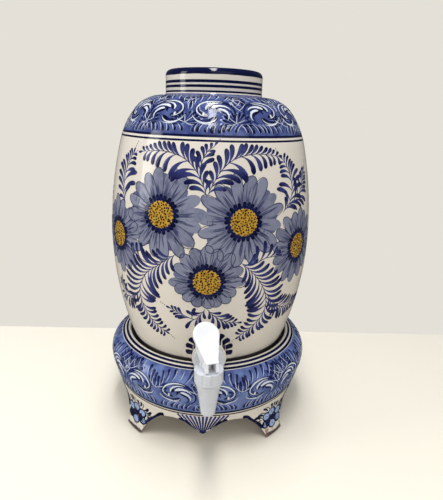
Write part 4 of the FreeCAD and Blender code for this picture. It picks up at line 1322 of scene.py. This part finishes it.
# The tap and the filter keep the model's own shapes. What they are made of: material, colour, grime,
# roughness, grain, relief, sheen, and nodes
TAP_PARTS = (
    # Painted shade: the tap's body and bonnet are the lever's white plastic, made greyer and bluer than it
    ("tap_gloss", (210, 213, 220), (196, 199, 207), 0.26, 300, 0.05, 0.3, "tap_body", "tap_bonnet"),
    ("lever_gloss", (240, 241, 245), (230, 231, 236), 0.24, 300, 0.05, 0.3, "tap_lever", "valve_stem"),
    ("nut_satin", (226, 226, 222), (206, 206, 200), 0.42, 300, 0.3, 0.0, "tap_back_nut"),
    ("washer_rubber", (214, 212, 206), (184, 182, 176), 0.62, 400, 0.4, 0.0,
     "tap_front_washer", "tap_inner_washer"),
    ("cup_silicone", (232, 230, 222), (214, 212, 204), 0.36, 250, 0.2, 0.0, "seat_cup"),
)
FILTER_PARTS = (
    ("union_satin", (224, 226, 226), (204, 206, 206), 0.4, 300, 0.3, 0.0, "filter_union_nut"),
    ("elbow_satin", (218, 224, 228), (198, 204, 208), 0.38, 350, 0.25, 0.0, "filter_elbow"),
    ("gasket_rubber", (196, 194, 188), (170, 168, 162), 0.66, 400, 0.4, 0.0, "union_washer", "candle_gasket"),
    ("candle_cap", (52, 84, 140), (40, 68, 120), 0.36, 400, 0.2, 0.0, "candle_base"),
)
# Material, colour, stain, grain, relief and node
CANDLE_PARTS = (
    ("candle_ceramic", (240, 236, 226), (222, 216, 202), 1400, 0.5, "candle_shell"),
    ("candle_felt", (230, 230, 224), (206, 206, 198), 2600, 0.9, "candle_pad"),
    ("candle_carbon", (14, 14, 15), (44, 44, 46), 1100, 1.0, "candle_core"),
)


def moulded(name, colour, shade, rough, grain, relief, sheen, *nodes):
    """Moulded plastic or rubber: a fine skin, and a little grime."""
    made, net = material(name)
    skin = net.noise(grain, 3.0)
    grime = net.ramp(net.noise(70, 4.0), 0.35, 0.8)
    net.surface(
        Base_Color=net.mix(grime * 0.35, linear(*colour), linear(*shade)),
        Roughness=rough + 0.12 * (skin - 0.5),
        Normal=net.bump(relief, 0.0003, skin), Coat_Weight=sheen, Coat_Roughness=0.12)
    recoat(made, *nodes)


def chalky(name, colour, shade, grain, relief, node):
    """A dull, grainy solid: porous ceramic, felt or packed carbon."""
    made, net = material(name)
    fine = net.noise(grain, 4.0)
    stain = fine * 0.6 + net.ramp(net.noise(45, 3.0), 0.4, 0.75) * 0.3
    net.surface(
        Base_Color=net.mix(stain, linear(*colour), linear(*shade)), Roughness=0.82 + 0.12 * (fine - 0.5),
        Normal=net.bump(relief, 0.0004, fine))
    recoat(made, node)


def drawn_steel():
    """The pin's steel, with fine scratches along it."""
    made, net = material("pin_steel")
    scratch = net.noise(3000, 2.0, (0.06, 1, 1))
    net.surface(
        Base_Color=net.mix(scratch, linear(186, 188, 190), linear(214, 215, 216)), Metallic=1.0,
        Roughness=0.28 + 0.15 * scratch, Normal=net.bump(0.2, 0.0001, scratch))
    recoat(made, "lever_pin")


class CROCK_OT_finish_tap(bpy.types.Operator):
    """Give the tap its white gloss, and its washers, cup and pin their own finishes"""

    bl_idname = "crock.finish_tap"
    bl_label = "Finish the tap"

    def execute(self, context):
        for part in TAP_PARTS:
            moulded(*part)
        drawn_steel()
        return {"FINISHED"}


class CROCK_OT_finish_filter(bpy.types.Operator):
    """Finish the filter inside the crock: union, elbow, base, candle and what it holds"""

    bl_idname = "crock.finish_filter"
    bl_label = "Finish the filter"

    def execute(self, context):
        for part in FILTER_PARTS:
            moulded(*part)
        for part in CANDLE_PARTS:
            chalky(*part)
        return {"FINISHED"}


# The stage

TABLE_HALF = 4
# Name, place, aim, width, height and power
LAMPS = (
    ("window", (-1.25, -0.32, 0.62), (0.0, 0.0, 0.26), 0.34, 0.9, 5.2),
    ("room", (0.5, -1.5, 1.3), (0.0, 0.0, 0.2), 1.6, 0.9, 3.5),
    ("ceiling", (-0.02, -0.35, 1.5), (-0.02, -0.15, 0.0), 0.16, 1.3, 14.4),
)
CAMERA_PLACE = (0, -0.540, 0.3765)
# Down, to the side and rolled, in degrees
CAMERA_TURN = (17.103, 1.532, 1.8235)


class CROCK_OT_set_stage(bpy.types.Operator):
    """Set the table, the wall's colour behind it, soft light and the camera"""

    bl_idname = "crock.set_stage"
    bl_label = "Set the stage"

    def execute(self, context):
        look = context.scene.stage_look
        mesh = bpy.data.meshes.new("table")
        far = TABLE_HALF
        mesh.from_pydata([(-far, -far, 0), (far, -far, 0), (far, far, 0), (-far, far, 0)], [], [(0, 1, 2, 3)])
        mesh.materials.append(table_top(look))
        piece("table", mesh)
        light_world(context.scene, look)
        for lamp in LAMPS:
            hang(*lamp)
        aim_camera(context.scene)
        context.scene.view_settings.view_transform = "Standard"
        return {"FINISHED"}


def light_world(scene, look):
    """An even room, which the camera sees as the wall."""
    scene.world = bpy.data.worlds.new("room")
    scene.world.use_nodes = True
    scene.world.node_tree.nodes.clear()
    net = Net(scene.world.node_tree)
    path = net.node("ShaderNodeLightPath")
    shine = 0.62 - 0.54 * path.out("Is Glossy Ray")
    room = net.node("ShaderNodeBackground", {}, {"Color": rgba(linear(226, 228, 234)), "Strength": shine})
    wall = net.node("ShaderNodeBackground", {}, {"Color": rgba(look.backdrop), "Strength": 1.0})
    net.node("ShaderNodeOutputWorld", {}, {"Surface": net.blend(path.out("Is Camera Ray"), room, wall)})


def hang(name, place, aim, width, height, power):
    """A soft rectangular light, turned to its aim."""
    light = bpy.data.lights.new(name, "AREA")
    light.shape = "RECTANGLE"
    light.size = width
    light.size_y = height
    light.energy = power
    holder = piece(name, light)
    holder.location = place
    holder.rotation_euler = (Vector(aim) - Vector(place)).to_track_quat("-Z", "Y").to_euler()


def aim_camera(scene):
    """The photograph's viewpoint: 540 mm in front of the axis, looking 17 degrees down."""
    pitch, yaw, roll = (math.radians(angle) for angle in CAMERA_TURN)
    ahead = Vector((math.sin(yaw) * math.cos(pitch), math.cos(yaw) * math.cos(pitch), -math.sin(pitch)))
    right = ahead.cross(Vector((0, 0, 1))).normalized()
    up = right.cross(ahead)
    tilted_right = math.cos(roll) * right + math.sin(roll) * up
    tilted_up = math.cos(roll) * up - math.sin(roll) * right
    lens = bpy.data.cameras.new("camera")
    lens.lens = 31.857
    lens.sensor_width = 36
    lens.clip_start = 0.01
    camera = piece("camera", lens)
    turned = Matrix((tilted_right, tilted_up, -ahead)).transposed().to_4x4()
    camera.matrix_world = Matrix.Translation(CAMERA_PLACE) @ turned
    scene.camera = camera


def table_top(look):
    """The pale table, and past its back edge the wall's plain colour."""
    made, net = material("table_top")
    wall = net.ramp(net.axis("Y"), look.table_back - 0.002, look.table_back + 0.002)
    top = net.mottle(look.table, (249, 241, 221), 3, 3.0, 0.4)
    shader = net.node("ShaderNodeBsdfPrincipled", {}, {
        "Base Color": net.mix(wall, top, look.backdrop), "Roughness": 0.5, "Specular IOR Level": 0.25})
    glow = net.node("ShaderNodeEmission", {}, {"Color": rgba(look.backdrop), "Strength": 1.0})
    dim = net.node("ShaderNodeBsdfDiffuse", {}, {"Color": rgba(linear(60, 58, 56))})
    ray = net.node("ShaderNodeLightPath")
    mixed = net.blend(ray.out("Is Camera Ray") * wall, shader, glow)
    mixed = net.blend(ray.out("Is Glossy Ray") * 0.9, mixed, dim)
    net.node("ShaderNodeOutputMaterial", {}, {"Surface": mixed})
    return made


STEPS = (
    CROCK_OT_turn_crock, CROCK_OT_glaze_stand, CROCK_OT_paint_flowers, CROCK_OT_paint_fronds,
    CROCK_OT_paint_shoulder, CROCK_OT_paint_stand, CROCK_OT_finish_tap, CROCK_OT_finish_filter,
    CROCK_OT_set_stage,
)


class CROCK_PT_workshop(bpy.types.Panel):
    """The steps that make the crock"""

    bl_idname = "CROCK_PT_workshop"
    bl_label = "Water filter crock"
    bl_space_type = "VIEW_3D"
    bl_region_type = "UI"
    bl_category = "Crock"

    def draw(self, context):
        for step in STEPS:
            self.layout.operator(step.bl_idname)


GROUPS = {"crock_sizes": CrockSizes, "paint_colours": PaintColours, "stage_look": StageLook}


def register():
    """Add the properties, the operators and their panel."""
    for name, group in GROUPS.items():
        bpy.utils.register_class(group)
        setattr(bpy.types.Scene, name, bpy.props.PointerProperty(type=group))
    for step in STEPS:
        bpy.utils.register_class(step)
    bpy.utils.register_class(CROCK_PT_workshop)


def unregister():
    """Take them away again."""
    bpy.utils.unregister_class(CROCK_PT_workshop)
    for step in reversed(STEPS):
        bpy.utils.unregister_class(step)
    for name, group in reversed(GROUPS.items()):
        delattr(bpy.types.Scene, name)
        bpy.utils.unregister_class(group)


def main():
    """Make everything in order."""
    register()
    for step in STEPS:
        family, name = step.bl_idname.split(".")
        getattr(getattr(bpy.ops, family), name)()


if __name__ == "__main__":
    main()
